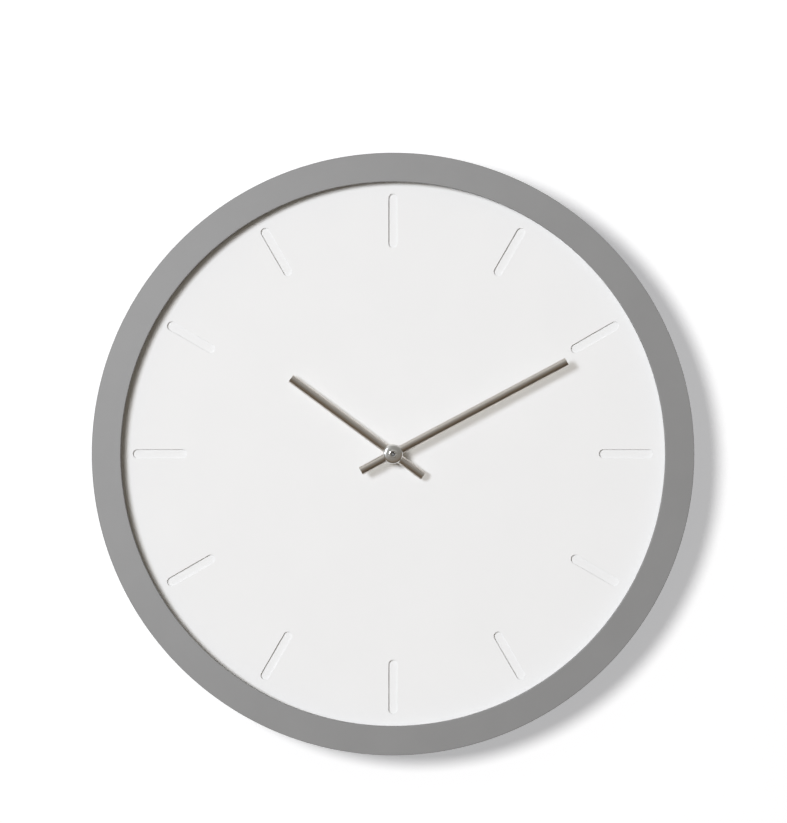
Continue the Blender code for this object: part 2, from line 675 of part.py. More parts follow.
def frame_profile():
    """The ring's section: face, deep outer skirt and a stepped inner wall that takes the dial."""
    edge = FRAME_EDGE_ROUND
    centre_z = face_z(FRAME_RADIUS - edge) - edge / math.cos(FRAME_FACE_SLOPE)
    outer_round = arc((FRAME_RADIUS - edge, centre_z), edge, math.pi / 2 - FRAME_FACE_SLOPE, 0, EDGE_STEPS)
    seat_z = DIAL_FRONT_Z + SEAT_GAP
    inner_back = FRAME_INNER_RADIUS + FRAME_WALL
    step_z = seat_z + FRAME_WALL
    return [
        *outer_round,
        (FRAME_RADIUS, 0),
        (CHANNEL_OUTER_RADIUS, 0),
        (CHANNEL_OUTER_RADIUS, face_z(CHANNEL_OUTER_RADIUS) - FRAME_WALL),
        (inner_back, face_z(inner_back) - FRAME_WALL),
        (inner_back, step_z),
        (CHANNEL_INNER_RADIUS, step_z),
        (CHANNEL_INNER_RADIUS, DIAL_BACK_Z),
        (DIAL_POCKET_RADIUS, DIAL_BACK_Z),
        (DIAL_POCKET_RADIUS, seat_z),
        (FRAME_INNER_RADIUS, seat_z),
        (FRAME_INNER_RADIUS, FRONT_Z - edge),
        (FRAME_INNER_RADIUS + edge, face_z(FRAME_INNER_RADIUS + edge)),
    ]


def clip_angle(number):
    """The angle of a dial clip and of its boss."""
    return CLIP_FIRST_ANGLE + math.tau * number / CLIP_COUNT


def build_frame():
    """The ring case, with ribs and screw bosses in its channel."""
    frame = turned("frame_ring", frame_profile(), FRAME_SIDES, CLOCK_AXIS, GREY_PAINT)
    rib_inner = CHANNEL_INNER_RADIUS - FRAME_WALL / 2
    rib_outer = CHANNEL_OUTER_RADIUS + FRAME_WALL / 2
    rib_low = DIAL_BACK_Z + EMBED
    rib_high = face_z(rib_outer) - FRAME_WALL / 2
    size = (rib_outer - rib_inner, RIB_THICKNESS, rib_high - rib_low)
    middle = Matrix.Translation(((rib_inner + rib_outer) / 2, 0, (rib_high + rib_low) / 2))
    blocks = []
    for number in range(RIB_COUNT):
        blocks.append((size, Matrix.Rotation(math.tau * number / RIB_COUNT, 4, "Z") @ middle))
    join(frame, boxes("frame_ribs", blocks, CLOCK_AXIS))
    bosses = []
    holes = []
    for number in range(CLIP_COUNT):
        spot = polar(BOSS_CENTRE_RADIUS, clip_angle(number))
        bosses.append((spot, BOSS_RADIUS, DIAL_BACK_Z, rib_high, SMALL_SIDES))
        hole_high = DIAL_BACK_Z + SCREW_SHANK_LENGTH
        holes.append((spot, SCREW_SHANK_RADIUS + SEAT_GAP, DIAL_BACK_Z - OVERRUN, hole_high, SMALL_SIDES))
    join(frame, cylinders("frame_bosses", bosses, CLOCK_AXIS))
    cut(frame, cylinders("frame_screw_holes", holes, CLOCK_AXIS))


def build_dial():
    """The dial with its hole and twelve recessed batons."""
    profile = tube_profile(BUSHING_HOLE_RADIUS, DIAL_RADIUS, DIAL_BACK_Z, DIAL_FRONT_Z)
    dial = turned("dial_plate", profile, DIAL_SIDES, CLOCK_AXIS, DIAL_WHITE)
    middle_radius = BATON_OUTER_RADIUS - BATON_LENGTH / 2
    slots = []
    for number in range(BATON_COUNT):
        angle = math.tau * number / BATON_COUNT
        spot = polar(middle_radius, angle)
        slots.append(stadium(BATON_LENGTH, BATON_WIDTH, BATON_END_STEPS, spot, angle))
    low = DIAL_FRONT_Z - BATON_DEPTH
    cut(dial, extruded("baton_slots", slots, low, DIAL_FRONT_Z + OVERRUN, CLOCK_AXIS, None))


def build_clips():
    """Four flat clips over the dial's edge, each with a screw into a boss."""
    clip_high = DIAL_BACK_Z - SEAT_GAP
    clip_low = clip_high - CLIP_THICKNESS
    outer_end = BOSS_CENTRE_RADIUS + BOSS_RADIUS
    inner_end = DIAL_RADIUS - CLIP_GRIP
    outline = rounded_rectangle(
        inner_end, -CLIP_WIDTH / 2, outer_end, CLIP_WIDTH / 2, CLIP_CORNER_RADIUS
    )
    hole = circle(SCREW_SHANK_RADIUS + SEAT_GAP, SMALL_SIDES, (BOSS_CENTRE_RADIUS, 0))
    head_low = clip_low - SEAT_GAP - SCREW_HEAD_HEIGHT
    head_high = clip_low - SEAT_GAP
    screw_tip = DIAL_BACK_Z + SCREW_SHANK_LENGTH - SEAT_GAP
    screw_profile = (
        (0, screw_tip),
        (SCREW_SHANK_RADIUS, screw_tip),
        (SCREW_SHANK_RADIUS, head_high),
        (SCREW_HEAD_RADIUS, head_high),
        (SCREW_HEAD_RADIUS, head_low + SCREW_HEAD_EDGE),
        (SCREW_HEAD_RADIUS - SCREW_HEAD_EDGE, head_low),
        (0, head_low),
    )
    for number in range(CLIP_COUNT):
        angle = clip_angle(number)
        turn = (0, 0, angle)
        extruded(f"dial_clip_{number + 1}", [outline, hole], clip_low, clip_high, CLOCK_AXIS, STEEL, turn)
        spot = (*polar(BOSS_CENTRE_RADIUS, angle), 0)
        turned(f"clip_screw_{number + 1}", screw_profile, SMALL_SIDES, CLOCK_AXIS, STEEL, spot)


def build_hanger():
    """The rubber washer and the bent hanger plate with its toothed notch."""
    washer_low = DIAL_BACK_Z - SEAT_GAP - RUBBER_THICKNESS
    washer = tube_profile(BUSHING_HOLE_RADIUS, RUBBER_RADIUS, washer_low, washer_low + RUBBER_THICKNESS)
    turned("rubber_washer", washer, LARGE_SIDES, CLOCK_AXIS, RUBBER)

    bend_low = TAB_LOW_Y - HANGER_BEND_RUN
    tab_front = HANGER_TAB_DISTANCE + HANGER_THICKNESS
    back = HANGER_FRONT_Z - HANGER_THICKNESS
    side_outline = [
        (HANGER_FRONT_Z, -HANGER_BELOW_AXIS),
        (HANGER_FRONT_Z, bend_low + HANGER_THICKNESS),
        (tab_front, TAB_LOW_Y + HANGER_THICKNESS),
        (tab_front, TAB_HIGH_Y),
        (HANGER_TAB_DISTANCE, TAB_HIGH_Y),
        (HANGER_TAB_DISTANCE, TAB_LOW_Y),
        (back, bend_low),
        (back, -HANGER_BELOW_AXIS),
    ]
    sideways = (0, -math.pi / 2, 0)
    half = HANGER_WIDTH / 2
    plate = extruded("hanger_plate", [side_outline], -half, half, CLOCK_AXIS, STEEL, sideways)

    hole_low = back - OVERRUN
    hole = ((0, 0), BUSHING_HOLE_RADIUS, hole_low, HANGER_FRONT_Z + OVERRUN, ARBOR_SIDES)
    cut(plate, cylinders("hanger_hole", [hole], CLOCK_AXIS))
    pitch = NOTCH_HALF_WIDTH * 2 / NOTCH_TEETH
    tooth_low = HANG_HEIGHT - NOTCH_TOOTH_HEIGHT
    teeth = [(NOTCH_HALF_WIDTH, NOTCH_LOW_Y), (NOTCH_HALF_WIDTH, tooth_low)]
    for tooth in range(NOTCH_TEETH):
        right = NOTCH_HALF_WIDTH - pitch * tooth
        teeth.append((right - pitch / 2, HANG_HEIGHT))
        teeth.append((right - pitch, tooth_low))
    teeth.append((-NOTCH_HALF_WIDTH, NOTCH_LOW_Y))
    notch_low = HANGER_TAB_DISTANCE - OVERRUN
    cut(plate, extruded("hanger_notch", [teeth], notch_low, tab_front + OVERRUN, CLOCK_AXIS, None))


def pivot_bosses():
    """Front bearings that stand on the case floor: (axis, top of the boss)."""
    run = SEAT_GAP + PINION_OVERHANG
    return (
        (THIRD_AXIS, layer_depth(CENTRE_LAYER) - run),
        (INTERMEDIATE_AXIS, layer_depth(CENTRE_LAYER) - run),
        (ROTOR_AXIS, layer_depth(INTERMEDIATE_LAYER) - run),
    )


def build_case():
    """The movement's tray: gear chamber, battery pocket, bearings, pillars and the hole for the bushing."""
    half_width = CASE_WIDTH / 2
    outline = rounded_rectangle(
        -half_width, -CASE_HALF_HEIGHT, half_width, CASE_HALF_HEIGHT, CASE_CORNER_RADIUS
    )
    rim_z = movement_z(CASE_RIM_DEPTH)
    case = extruded("movement_case", [outline], rim_z, MOVEMENT_Z, CLOCK_AXIS, BLACK_PLASTIC)

    chamber = rounded_rectangle(
        -CASE_INNER_HALF, GEAR_POCKET_LOW, CASE_INNER_HALF, GEAR_POCKET_HIGH, CASE_INNER_CORNER
    )
    battery_room = rounded_rectangle(
        -CASE_INNER_HALF, BATTERY_POCKET_LOW, CASE_INNER_HALF, BATTERY_POCKET_HIGH, CASE_INNER_CORNER
    )
    floor_z = movement_z(CASE_FLOOR)
    cut(case, extruded("case_pockets", [chamber, battery_room], rim_z - OVERRUN, floor_z, CLOCK_AXIS, None))

    posts = []
    for axis, top in pivot_bosses():
        posts.append((axis, PIVOT_BOSS_RADIUS, movement_z(top), floor_z + EMBED, SMALL_SIDES))
    motion_top = layer_depth(MOTION_LAYER) + WHEEL_THICKNESS + PINION_OVERHANG
    posts.append((MOTION_AXIS, MOTION_POST_RADIUS, movement_z(motion_top), floor_z + EMBED, PIVOT_SIDES))
    setting_top = layer_depth(MOTION_LAYER) - SEAT_GAP
    boss_radius = SETTING_ARBOR_RADIUS + PIVOT_BOSS_RADIUS
    posts.append((SETTING_AXIS, boss_radius, movement_z(setting_top), floor_z + EMBED, ARBOR_SIDES))
    shoulder_z = movement_z(STATOR_DEPTH - SEAT_GAP)
    bridge_front_z = movement_z(BRIDGE_DEPTH - SEAT_GAP)
    board_front_z = movement_z(BOARD_DEPTH - SEAT_GAP)
    for spot in STATOR_PILLARS:
        posts.append((spot, PILLAR_SHOULDER_RADIUS, shoulder_z, floor_z + EMBED, SMALL_SIDES))
    for spot in RIGHT_PILLARS:
        posts.append((spot, PILLAR_RADIUS, bridge_front_z, floor_z + EMBED, SMALL_SIDES))
    for spot in BOARD_POSTS:
        posts.append((spot, PILLAR_RADIUS, board_front_z, floor_z + EMBED, SMALL_SIDES))
    join(case, cylinders("case_posts", posts, CLOCK_AXIS))

    slim = []
    for spot in STATOR_PILLARS:
        slim.append((spot, PILLAR_RADIUS, bridge_front_z, shoulder_z + EMBED, SMALL_SIDES))
    join(case, cylinders("case_pillar_tops", slim, CLOCK_AXIS))

    stakes = []
    stake_low = movement_z(BRIDGE_DEPTH + BRIDGE_THICKNESS + STAKE_LENGTH)
    for spot in BRIDGE_CORNERS:
        stakes.append((spot, STAKE_RADIUS, stake_low, bridge_front_z + EMBED, PIVOT_SIDES))
    board_stake_low = movement_z(BOARD_DEPTH + BOARD_THICKNESS + STAKE_LENGTH)
    for spot in BOARD_POSTS:
        stakes.append((spot, STAKE_RADIUS, board_stake_low, board_front_z + EMBED, PIVOT_SIDES))
    join(case, cylinders("case_stakes", stakes, CLOCK_AXIS))

    flange_seat = CASE_FLOOR - BUSHING_FLANGE_THICKNESS - SEAT_GAP
    holes = [(CENTRE, BUSHING_RADIUS + PRESS_GAP, floor_z - OVERRUN, MOVEMENT_Z + OVERRUN, LARGE_SIDES)]
    for axis, top in pivot_bosses():
        holes.append((axis, ARBOR_RADIUS + RUN_GAP, movement_z(top) - OVERRUN, floor_z, PIVOT_SIDES))
    setting_hole = SETTING_ARBOR_RADIUS + RUN_GAP
    holes.append((SETTING_AXIS, setting_hole, movement_z(setting_top) - OVERRUN, floor_z, ARBOR_SIDES))
    cut(case, cylinders("case_holes", holes, CLOCK_AXIS))
    counterbore = (
        CENTRE,
        BUSHING_FLANGE_RADIUS + PRESS_GAP,
        floor_z - OVERRUN,
        movement_z(flange_seat),
        LARGE_SIDES,
    )
    cut(case, cylinders("case_counterbore", [counterbore], CLOCK_AXIS))


def build_bushing():
    """The brass sleeve through the dial, and its nut."""
    flange_front = movement_z(CASE_FLOOR - BUSHING_FLANGE_THICKNESS)
    flange_back = movement_z(CASE_FLOOR)
    top = SHAFT_NUT_Z + SHAFT_NUT_HEIGHT
    bore = HOUR_PIPE_RADIUS + RUN_GAP
    profile = (
        (bore, top),
        (BUSHING_RADIUS, top),
        (BUSHING_RADIUS, flange_front),
        (BUSHING_FLANGE_RADIUS, flange_front),
        (BUSHING_FLANGE_RADIUS, flange_back),
        (bore, flange_back),
    )
    turned("threaded_bushing", profile, LARGE_SIDES, CLOCK_AXIS, BRASS)
    corner_radius = SHAFT_NUT_FLATS / 2 / math.cos(math.pi / NUT_SIDES)
    outlines = [circle(corner_radius, NUT_SIDES), circle(BUSHING_HOLE_RADIUS, ARBOR_SIDES)]
    extruded("shaft_nut", outlines, SHAFT_NUT_Z, SHAFT_NUT_Z + SHAFT_NUT_HEIGHT, CLOCK_AXIS, BRASS)


def build_cover():
    """The rear cover over the gear chamber, with the hole for the setting arbor."""
    low = movement_z(MOVEMENT_DEPTH)
    half_width = CASE_WIDTH / 2
    outline = rounded_rectangle(
        -half_width, BATTERY_POCKET_HIGH, half_width, CASE_HALF_HEIGHT, CASE_CORNER_RADIUS
    )
    hole = circle(SETTING_ARBOR_RADIUS + PRESS_GAP, ARBOR_SIDES, SETTING_AXIS)
    extruded("movement_cover", [outline, hole], low, low + COVER_THICKNESS, CLOCK_AXIS, BLACK_PLASTIC)


def build_bridge():
    """The plate that holds the rear pivots, staked on four pillars."""
    low = movement_z(BRIDGE_DEPTH + BRIDGE_THICKNESS)
    outlines = [rounded_hull(BRIDGE_CORNERS, PILLAR_MARGIN, EDGE_STEPS)]
    for axis in (CENTRE, THIRD_AXIS, INTERMEDIATE_AXIS, ROTOR_AXIS):
        outlines.append(circle(ARBOR_RADIUS + RUN_GAP, PIVOT_SIDES, axis))
    outlines.append(circle(SETTING_ARBOR_RADIUS + PRESS_GAP, ARBOR_SIDES, SETTING_AXIS))
    for spot in BRIDGE_CORNERS:
        outlines.append(circle(STAKE_RADIUS + PRESS_GAP, PIVOT_SIDES, spot))
    extruded("train_bridge", outlines, low, low + BRIDGE_THICKNESS, CLOCK_AXIS, WHITE_PLASTIC)


def build_motor():
    """Stator plate, coil core, bobbin and winding of the stepping motor."""
    stator_low = movement_z(STATOR_DEPTH + STATOR_THICKNESS)
    plate = [
        (STATOR_LEFT, STATOR_LOW),
        (STATOR_BAR_RIGHT, STATOR_LOW),
        (STATOR_BAR_RIGHT, STATOR_HIGH),
        (STATOR_LEFT, STATOR_HIGH),
        (STATOR_LEFT, STATOR_WINDOW_HIGH),
        (STATOR_BAR_LEFT, STATOR_WINDOW_HIGH),
        (STATOR_BAR_LEFT, STATOR_WINDOW_LOW),
        (STATOR_LEFT, STATOR_WINDOW_LOW),
    ]
    outlines = [plate, circle(STATOR_HOLE_RADIUS, ARBOR_SIDES, ROTOR_AXIS)]
    for spot in STATOR_PILLARS:
        outlines.append(circle(PILLAR_RADIUS + PRESS_GAP, SMALL_SIDES, spot))
    extruded("stator_plate", outlines, stator_low, stator_low + STATOR_THICKNESS, CLOCK_AXIS, STEEL)

    core_low = movement_z(CORE_DEPTH + COIL_CORE_THICKNESS)
    core_half = COIL_CORE_WIDTH / 2
    core = [
        (COIL_X - core_half, STATOR_LOW),
        (COIL_X + core_half, STATOR_LOW),
        (COIL_X + core_half, STATOR_HIGH),
        (COIL_X - core_half, STATOR_HIGH),
    ]
    extruded("coil_core", [core], core_low, core_low + COIL_CORE_THICKNESS, CLOCK_AXIS, STEEL)

    coil_z = core_low + COIL_CORE_THICKNESS / 2
    half = COIL_LENGTH / 2
    flange = half - COIL_FLANGE_THICKNESS
    bobbin_profile = (
        (0, half),
        (COIL_RADIUS, half),
        (COIL_RADIUS, flange),
        (BOBBIN_TUBE_RADIUS, flange),
        (BOBBIN_TUBE_RADIUS, -flange),
        (COIL_RADIUS, -flange),
        (COIL_RADIUS, -half),
        (0, -half),
    )
    upright = (-math.pi / 2, 0, 0)
    spot = (COIL_X, COIL_HEIGHT, coil_z)
    bobbin = turned("coil_bobbin", bobbin_profile, ARBOR_SIDES, CLOCK_AXIS, WHITE_PLASTIC, spot, upright)
    slot_size = (
        COIL_CORE_WIDTH + 2 * SEAT_GAP,
        COIL_LENGTH + 2 * OVERRUN,
        COIL_CORE_THICKNESS + 2 * SEAT_GAP,
    )
    cut(bobbin, boxes("bobbin_slot", [(slot_size, Matrix.Translation(spot))], CLOCK_AXIS))
    winding_half = flange - PRESS_GAP
    winding = tube_profile(
        BOBBIN_TUBE_RADIUS + PRESS_GAP, COIL_RADIUS - PRESS_GAP, -winding_half, winding_half
    )
    turned("coil_winding", winding, ARBOR_SIDES, CLOCK_AXIS, COPPER, spot, upright)


def build_circuit():
    """Circuit board, sealed chip and quartz crystal."""
    low = movement_z(BOARD_DEPTH + BOARD_THICKNESS)
    outlines = [rounded_rectangle(BOARD_LEFT, BOARD_LOW, BOARD_RIGHT, BOARD_HIGH, CASE_INNER_CORNER)]
    for spot in BOARD_POSTS:
        outlines.append(circle(STAKE_RADIUS + PRESS_GAP, PIVOT_SIDES, spot))
    extruded("circuit_board", outlines, low, low + BOARD_THICKNESS, CLOCK_AXIS, BOARD_GREEN)

    chip_x = BOARD_LEFT + BOARD_MARGIN + CHIP_RADIUS
    chip_y = BOARD_LOW + CHIP_RISE
    chip_top = low - SEAT_GAP
    dome = [(0, chip_top), (CHIP_RADIUS, chip_top)]
    for step in range(1, EDGE_STEPS + 1):
        angle = math.pi / 2 * step / EDGE_STEPS
        dome.append((CHIP_RADIUS * math.cos(angle), chip_top - CHIP_HEIGHT * math.sin(angle)))
    dome[-1] = (0, chip_top - CHIP_HEIGHT)
    turned("chip_cover", dome, SMALL_SIDES, CLOCK_AXIS, BLACK_PLASTIC, (chip_x, chip_y, 0))

    crystal_y = BOARD_HIGH - BOARD_MARGIN - CRYSTAL_LENGTH / 2
    crystal_spot = (chip_x, crystal_y, low - SEAT_GAP - CRYSTAL_RADIUS)
    crystal = rod_profile(CRYSTAL_RADIUS, -CRYSTAL_LENGTH / 2, CRYSTAL_LENGTH / 2)
    upright = (-math.pi / 2, 0, 0)
    turned("quartz_crystal", crystal, SMALL_SIDES, CLOCK_AXIS, STEEL, crystal_spot, upright)


def build_battery():
    """The cell, its spring on the left and its contact plate on the right."""
    battery_z = movement_z(BATTERY_DEPTH)
    left = -CASE_INNER_HALF + SPRING_LENGTH
    shoulder = BATTERY_LENGTH - BATTERY_NUB_LENGTH
    edge = BATTERY_EDGE_ROUND
    profile = [
        (0, BATTERY_LENGTH),
        (BATTERY_NUB_RADIUS, BATTERY_LENGTH),
        (BATTERY_NUB_RADIUS, shoulder),
        *arc((BATTERY_RADIUS - edge, shoulder - edge), edge, math.pi / 2, 0, EDGE_STEPS),
        *arc((BATTERY_RADIUS - edge, edge), edge, 0, -math.pi / 2, EDGE_STEPS),
        (0, 0),
    ]
    along = (0, math.pi / 2, 0)
    spot = (left, BATTERY_Y, battery_z)
    turned("battery_cell", profile, ARBOR_SIDES, CLOCK_AXIS, BATTERY_SLEEVE, spot, along)

    contact_left = CASE_INNER_HALF - SEAT_GAP - CONTACT_THICKNESS
    half = CONTACT_SIZE / 2
    contact = rounded_rectangle(-half, -half, half, half, CONTACT_CORNER_RADIUS)
    extruded(
        "battery_contact",
        [contact],
        0,
        CONTACT_THICKNESS,
        CLOCK_AXIS,
        STEEL,
        along,
        (contact_left, BATTERY_Y, battery_z),
    )
    build_spring(-CASE_INNER_HALF, battery_z)


def build_spring(wall_x, battery_z):
    """The conical battery spring, a wire on a helix that widens towards the case wall."""
    wire_radius = SPRING_WIRE / 2
    steps = round(SPRING_TURNS * ARBOR_SIDES / 2)
    length = SPRING_LENGTH - 2 * SEAT_GAP - SPRING_WIRE
    start = wall_x + SEAT_GAP + wire_radius
    curve = bpy.data.curves.new("battery_spring_wire", "CURVE")
    curve.dimensions = "3D"
    curve.bevel_depth = wire_radius
    curve.bevel_resolution = 1
    curve.use_fill_caps = True
    spline = curve.splines.new("POLY")
    spline.points.add(steps)
    for step, spot in enumerate(spline.points):
        share = step / steps
        radius = SPRING_LARGE_RADIUS + (SPRING_SMALL_RADIUS - SPRING_LARGE_RADIUS) * share
        y, z = polar(radius, math.tau * SPRING_TURNS * share, (BATTERY_Y, battery_z))
        spot.co = (start + length * share, y, z, 1)
    wire = bpy.data.objects.new("battery_spring_wire", curve)
    PARTS.objects.link(wire)
    mesh = evaluated_mesh(wire)
    bpy.data.objects.remove(wire)
    shape = bmesh.new()
    shape.from_mesh(mesh)
    bmesh.ops.remove_doubles(shape, verts=shape.verts, dist=MERGE_DISTANCE)
    bmesh.ops.recalc_face_normals(shape, faces=shape.faces)
    shape.to_mesh(mesh)
    shape.free()
    place("battery_spring", mesh, CLOCK_AXIS, STEEL)


def geared_arbor(name, wheel, leaves, arbor, parent, material):
    """A wheel with its pinion on one arbor: outlines with (low, high), and the arbor's ends."""
    wheel_points, wheel_low, wheel_high = wheel
    gear = extruded(name, [wheel_points], wheel_low, wheel_high, parent, material)
    leaf_points, leaf_low, leaf_high = leaves
    join(gear, extruded(name + "_leaves", [leaf_points], leaf_low, leaf_high, parent, None))
    radius, low, high = arbor
    join(gear, cylinders(name + "_arbor", [(CENTRE, radius, low, high, PIVOT_SIDES)], parent))
    return gear


def pinion_span(layer, wheel_layer):
    """The faces of a pinion in one layer that runs into the wheel of its arbor in the next layer."""
    low, high = layer_z(layer)
    wheel_low, wheel_high = layer_z(wheel_layer)
    if wheel_layer > layer:
        return wheel_high - EMBED, high + PINION_OVERHANG
    return low - PINION_OVERHANG, wheel_low + EMBED


def build_train():
    """The going train: third, seconds and intermediate wheels, and the rotor."""
    bridge_back = movement_z(BRIDGE_DEPTH + BRIDGE_THICKNESS)

    third_low, third_high = layer_z(THIRD_LAYER)
    leaf_span = pinion_span(CENTRE_LAYER, THIRD_LAYER)
    geared_arbor(
        "third_wheel",
        (wheel_outline(THIRD_TEETH, THIRD_MODULE, THIRD_PHASE), third_low, third_high),
        (leaf_outline(THIRD_LEAVES, CENTRE_MODULE, THIRD_PHASE), *leaf_span),
        (ARBOR_RADIUS, bridge_back, movement_z(CASE_FLOOR + SEAT_GAP)),
        THIRD_AXIS_EMPTY,
        WHITE_PLASTIC,
    )
    seconds_low, seconds_high = layer_z(SECONDS_LAYER)
    seconds_front = layer_z(CENTRE_LAYER)[1]
    leaf_span = pinion_span(THIRD_LAYER, SECONDS_LAYER)
    geared_arbor(
        "seconds_wheel",
        (wheel_outline(SECONDS_TEETH, SECONDS_MODULE, SECONDS_PHASE), seconds_low, seconds_high),
        (leaf_outline(SECONDS_LEAVES, THIRD_MODULE, SECONDS_PHASE), *leaf_span),
        (ARBOR_RADIUS, bridge_back, seconds_front),
        SECONDS_AXIS_EMPTY,
        WHITE_PLASTIC,
    )
    wheel_low, wheel_high = layer_z(INTERMEDIATE_LAYER)
    leaf_span = pinion_span(SECONDS_LAYER, INTERMEDIATE_LAYER)
    geared_arbor(
        "intermediate_wheel",
        (wheel_outline(INTERMEDIATE_TEETH, INTERMEDIATE_MODULE, INTERMEDIATE_PHASE), wheel_low, wheel_high),
        (leaf_outline(INTERMEDIATE_LEAVES, SECONDS_MODULE, INTERMEDIATE_PHASE), *leaf_span),
        (ARBOR_RADIUS, bridge_back, movement_z(CASE_FLOOR + SEAT_GAP)),
        INTERMEDIATE_AXIS_EMPTY,
        WHITE_PLASTIC,
    )
    leaf_low, leaf_high = layer_z(INTERMEDIATE_LAYER)
    leaf_points = leaf_outline(ROTOR_LEAVES, INTERMEDIATE_MODULE, ROTOR_PHASE)
    rotor = extruded("rotor_pinion", [leaf_points], leaf_low, leaf_high, ROTOR_AXIS_EMPTY, WHITE_PLASTIC)
    arbor = (CENTRE, ARBOR_RADIUS, bridge_back, movement_z(CASE_FLOOR + SEAT_GAP), PIVOT_SIDES)
    join(rotor, cylinders("rotor_arbor", [arbor], ROTOR_AXIS_EMPTY))
    magnet_low = movement_z(MAGNET_DEPTH + MAGNET_THICKNESS)
    magnet = tube_profile(ARBOR_RADIUS + PRESS_GAP, MAGNET_RADIUS, magnet_low, magnet_low + MAGNET_THICKNESS)
    turned("rotor_magnet", magnet, ARBOR_SIDES, ROTOR_AXIS_EMPTY, MAGNET)


def build_motion_work():
    """Motion wheel, hour wheel with its pipe, and the setting pinion and knob."""
    wheel_low, wheel_high = layer_z(MOTION_LAYER)
    on_motion = (MOTION_AXIS_EMPTY, WHITE_PLASTIC)
    motion_points = wheel_outline(MOTION_TEETH, MOTION_MODULE, MOTION_PHASE)
    motion = extruded("motion_wheel", [motion_points], wheel_low, wheel_high, *on_motion)
    leaf_low, leaf_high = pinion_span(HOUR_LAYER, MOTION_LAYER)
    leaf_points = leaf_outline(MOTION_PINION_LEAVES, HOUR_MODULE, MOTION_PHASE)
    join(motion, extruded("motion_leaves", [leaf_points], leaf_low, leaf_high, MOTION_AXIS_EMPTY, None))
    bore = (CENTRE, MOTION_POST_RADIUS + RUN_GAP, wheel_low - OVERRUN, leaf_high + OVERRUN, PIVOT_SIDES)
    cut(motion, cylinders("motion_bore", [bore], MOTION_AXIS_EMPTY))

    hour_low, hour_high = layer_z(HOUR_LAYER)
    hour_points = wheel_outline(HOUR_TEETH, HOUR_MODULE, HOUR_PHASE)
    hour = extruded("hour_wheel", [hour_points], hour_low, hour_high, HOUR_AXIS_EMPTY, WHITE_PLASTIC)
    pipe_top = COLLET_Z + COLLET_THICKNESS
    pipe = (CENTRE, HOUR_PIPE_RADIUS, hour_low + EMBED, pipe_top, LARGE_SIDES)
    join(hour, cylinders("hour_pipe", [pipe], HOUR_AXIS_EMPTY))
    hole = (CENTRE, MINUTE_ARBOR_RADIUS + RUN_GAP, hour_low - OVERRUN, pipe_top + OVERRUN, ARBOR_SIDES)
    cut(hour, cylinders("hour_bore", [hole], HOUR_AXIS_EMPTY))

    on_setting = (SETTING_AXIS_EMPTY, WHITE_PLASTIC)
    leaf_points = leaf_outline(SETTING_LEAVES, SETTING_MODULE, SETTING_PHASE)
    setting = extruded("setting_pinion", [leaf_points], wheel_low, wheel_high, *on_setting)
    knob_front = movement_z(MOVEMENT_DEPTH + HAND_GAP)
    knob_low = knob_front - KNOB_THICKNESS
    arbor_front = movement_z(CASE_FLOOR + SEAT_GAP)
    arbor = (CENTRE, SETTING_ARBOR_RADIUS, knob_low, arbor_front, ARBOR_SIDES)
    join(setting, cylinders("setting_arbor", [arbor], SETTING_AXIS_EMPTY))
    flutes = []
    for number in range(2 * KNOB_FLUTES):
        radius = KNOB_RADIUS - KNOB_FLUTE_DEPTH * (number % 2)
        flutes.append(polar(radius, math.pi * number / KNOB_FLUTES))
    outlines = [flutes, circle(SETTING_ARBOR_RADIUS + PRESS_GAP, ARBOR_SIDES)]
    extruded("setting_knob", outlines, knob_low, knob_front, SETTING_AXIS_EMPTY, BLACK_PLASTIC)


def build_minute_arbor():
    """The minute arbor with its cannon pinion and threaded tip, and the centre wheel on its rear end."""
    centre_low, centre_high = layer_z(CENTRE_LAYER)
    rear = centre_low - LAYER_GAP / 2
    leaf_low, leaf_high = layer_z(MOTION_LAYER)
    shoulder = MINUTE_ROD_Z - ROD_RADIUS - SEAT_GAP
    profile = (
        (0, THREAD_TOP_Z),
        (THREAD_RADIUS, THREAD_TOP_Z),
        (THREAD_RADIUS, shoulder),
        (MINUTE_ARBOR_RADIUS, shoulder),
        (MINUTE_ARBOR_RADIUS, leaf_high),
        (MINUTE_ARBOR_REAR_RADIUS, leaf_high),
        (MINUTE_ARBOR_REAR_RADIUS, rear),
        (0, rear),
    )
    arbor = turned("minute_arbor", profile, ARBOR_SIDES, MINUTE_AXIS_EMPTY, STEEL)
    leaf_points = leaf_outline(CANNON_LEAVES, MOTION_MODULE, CANNON_PHASE)
    leaves = extruded(
        "cannon_leaves", [leaf_points], leaf_low, leaf_high + PINION_OVERHANG, MINUTE_AXIS_EMPTY, None
    )
    join(arbor, leaves)
    seconds_hole = (CENTRE, ARBOR_RADIUS + RUN_GAP, rear - OVERRUN, centre_high + SEAT_GAP, PIVOT_SIDES)
    cut(arbor, cylinders("seconds_pivot_hole", [seconds_hole], MINUTE_AXIS_EMPTY))
    wheel_points = wheel_outline(CENTRE_TEETH, CENTRE_MODULE, CANNON_PHASE)
    outlines = [wheel_points, circle(MINUTE_ARBOR_REAR_RADIUS + PRESS_GAP, ARBOR_SIDES)]
    extruded("centre_wheel", outlines, centre_low, centre_high, MINUTE_AXIS_EMPTY, BRASS)


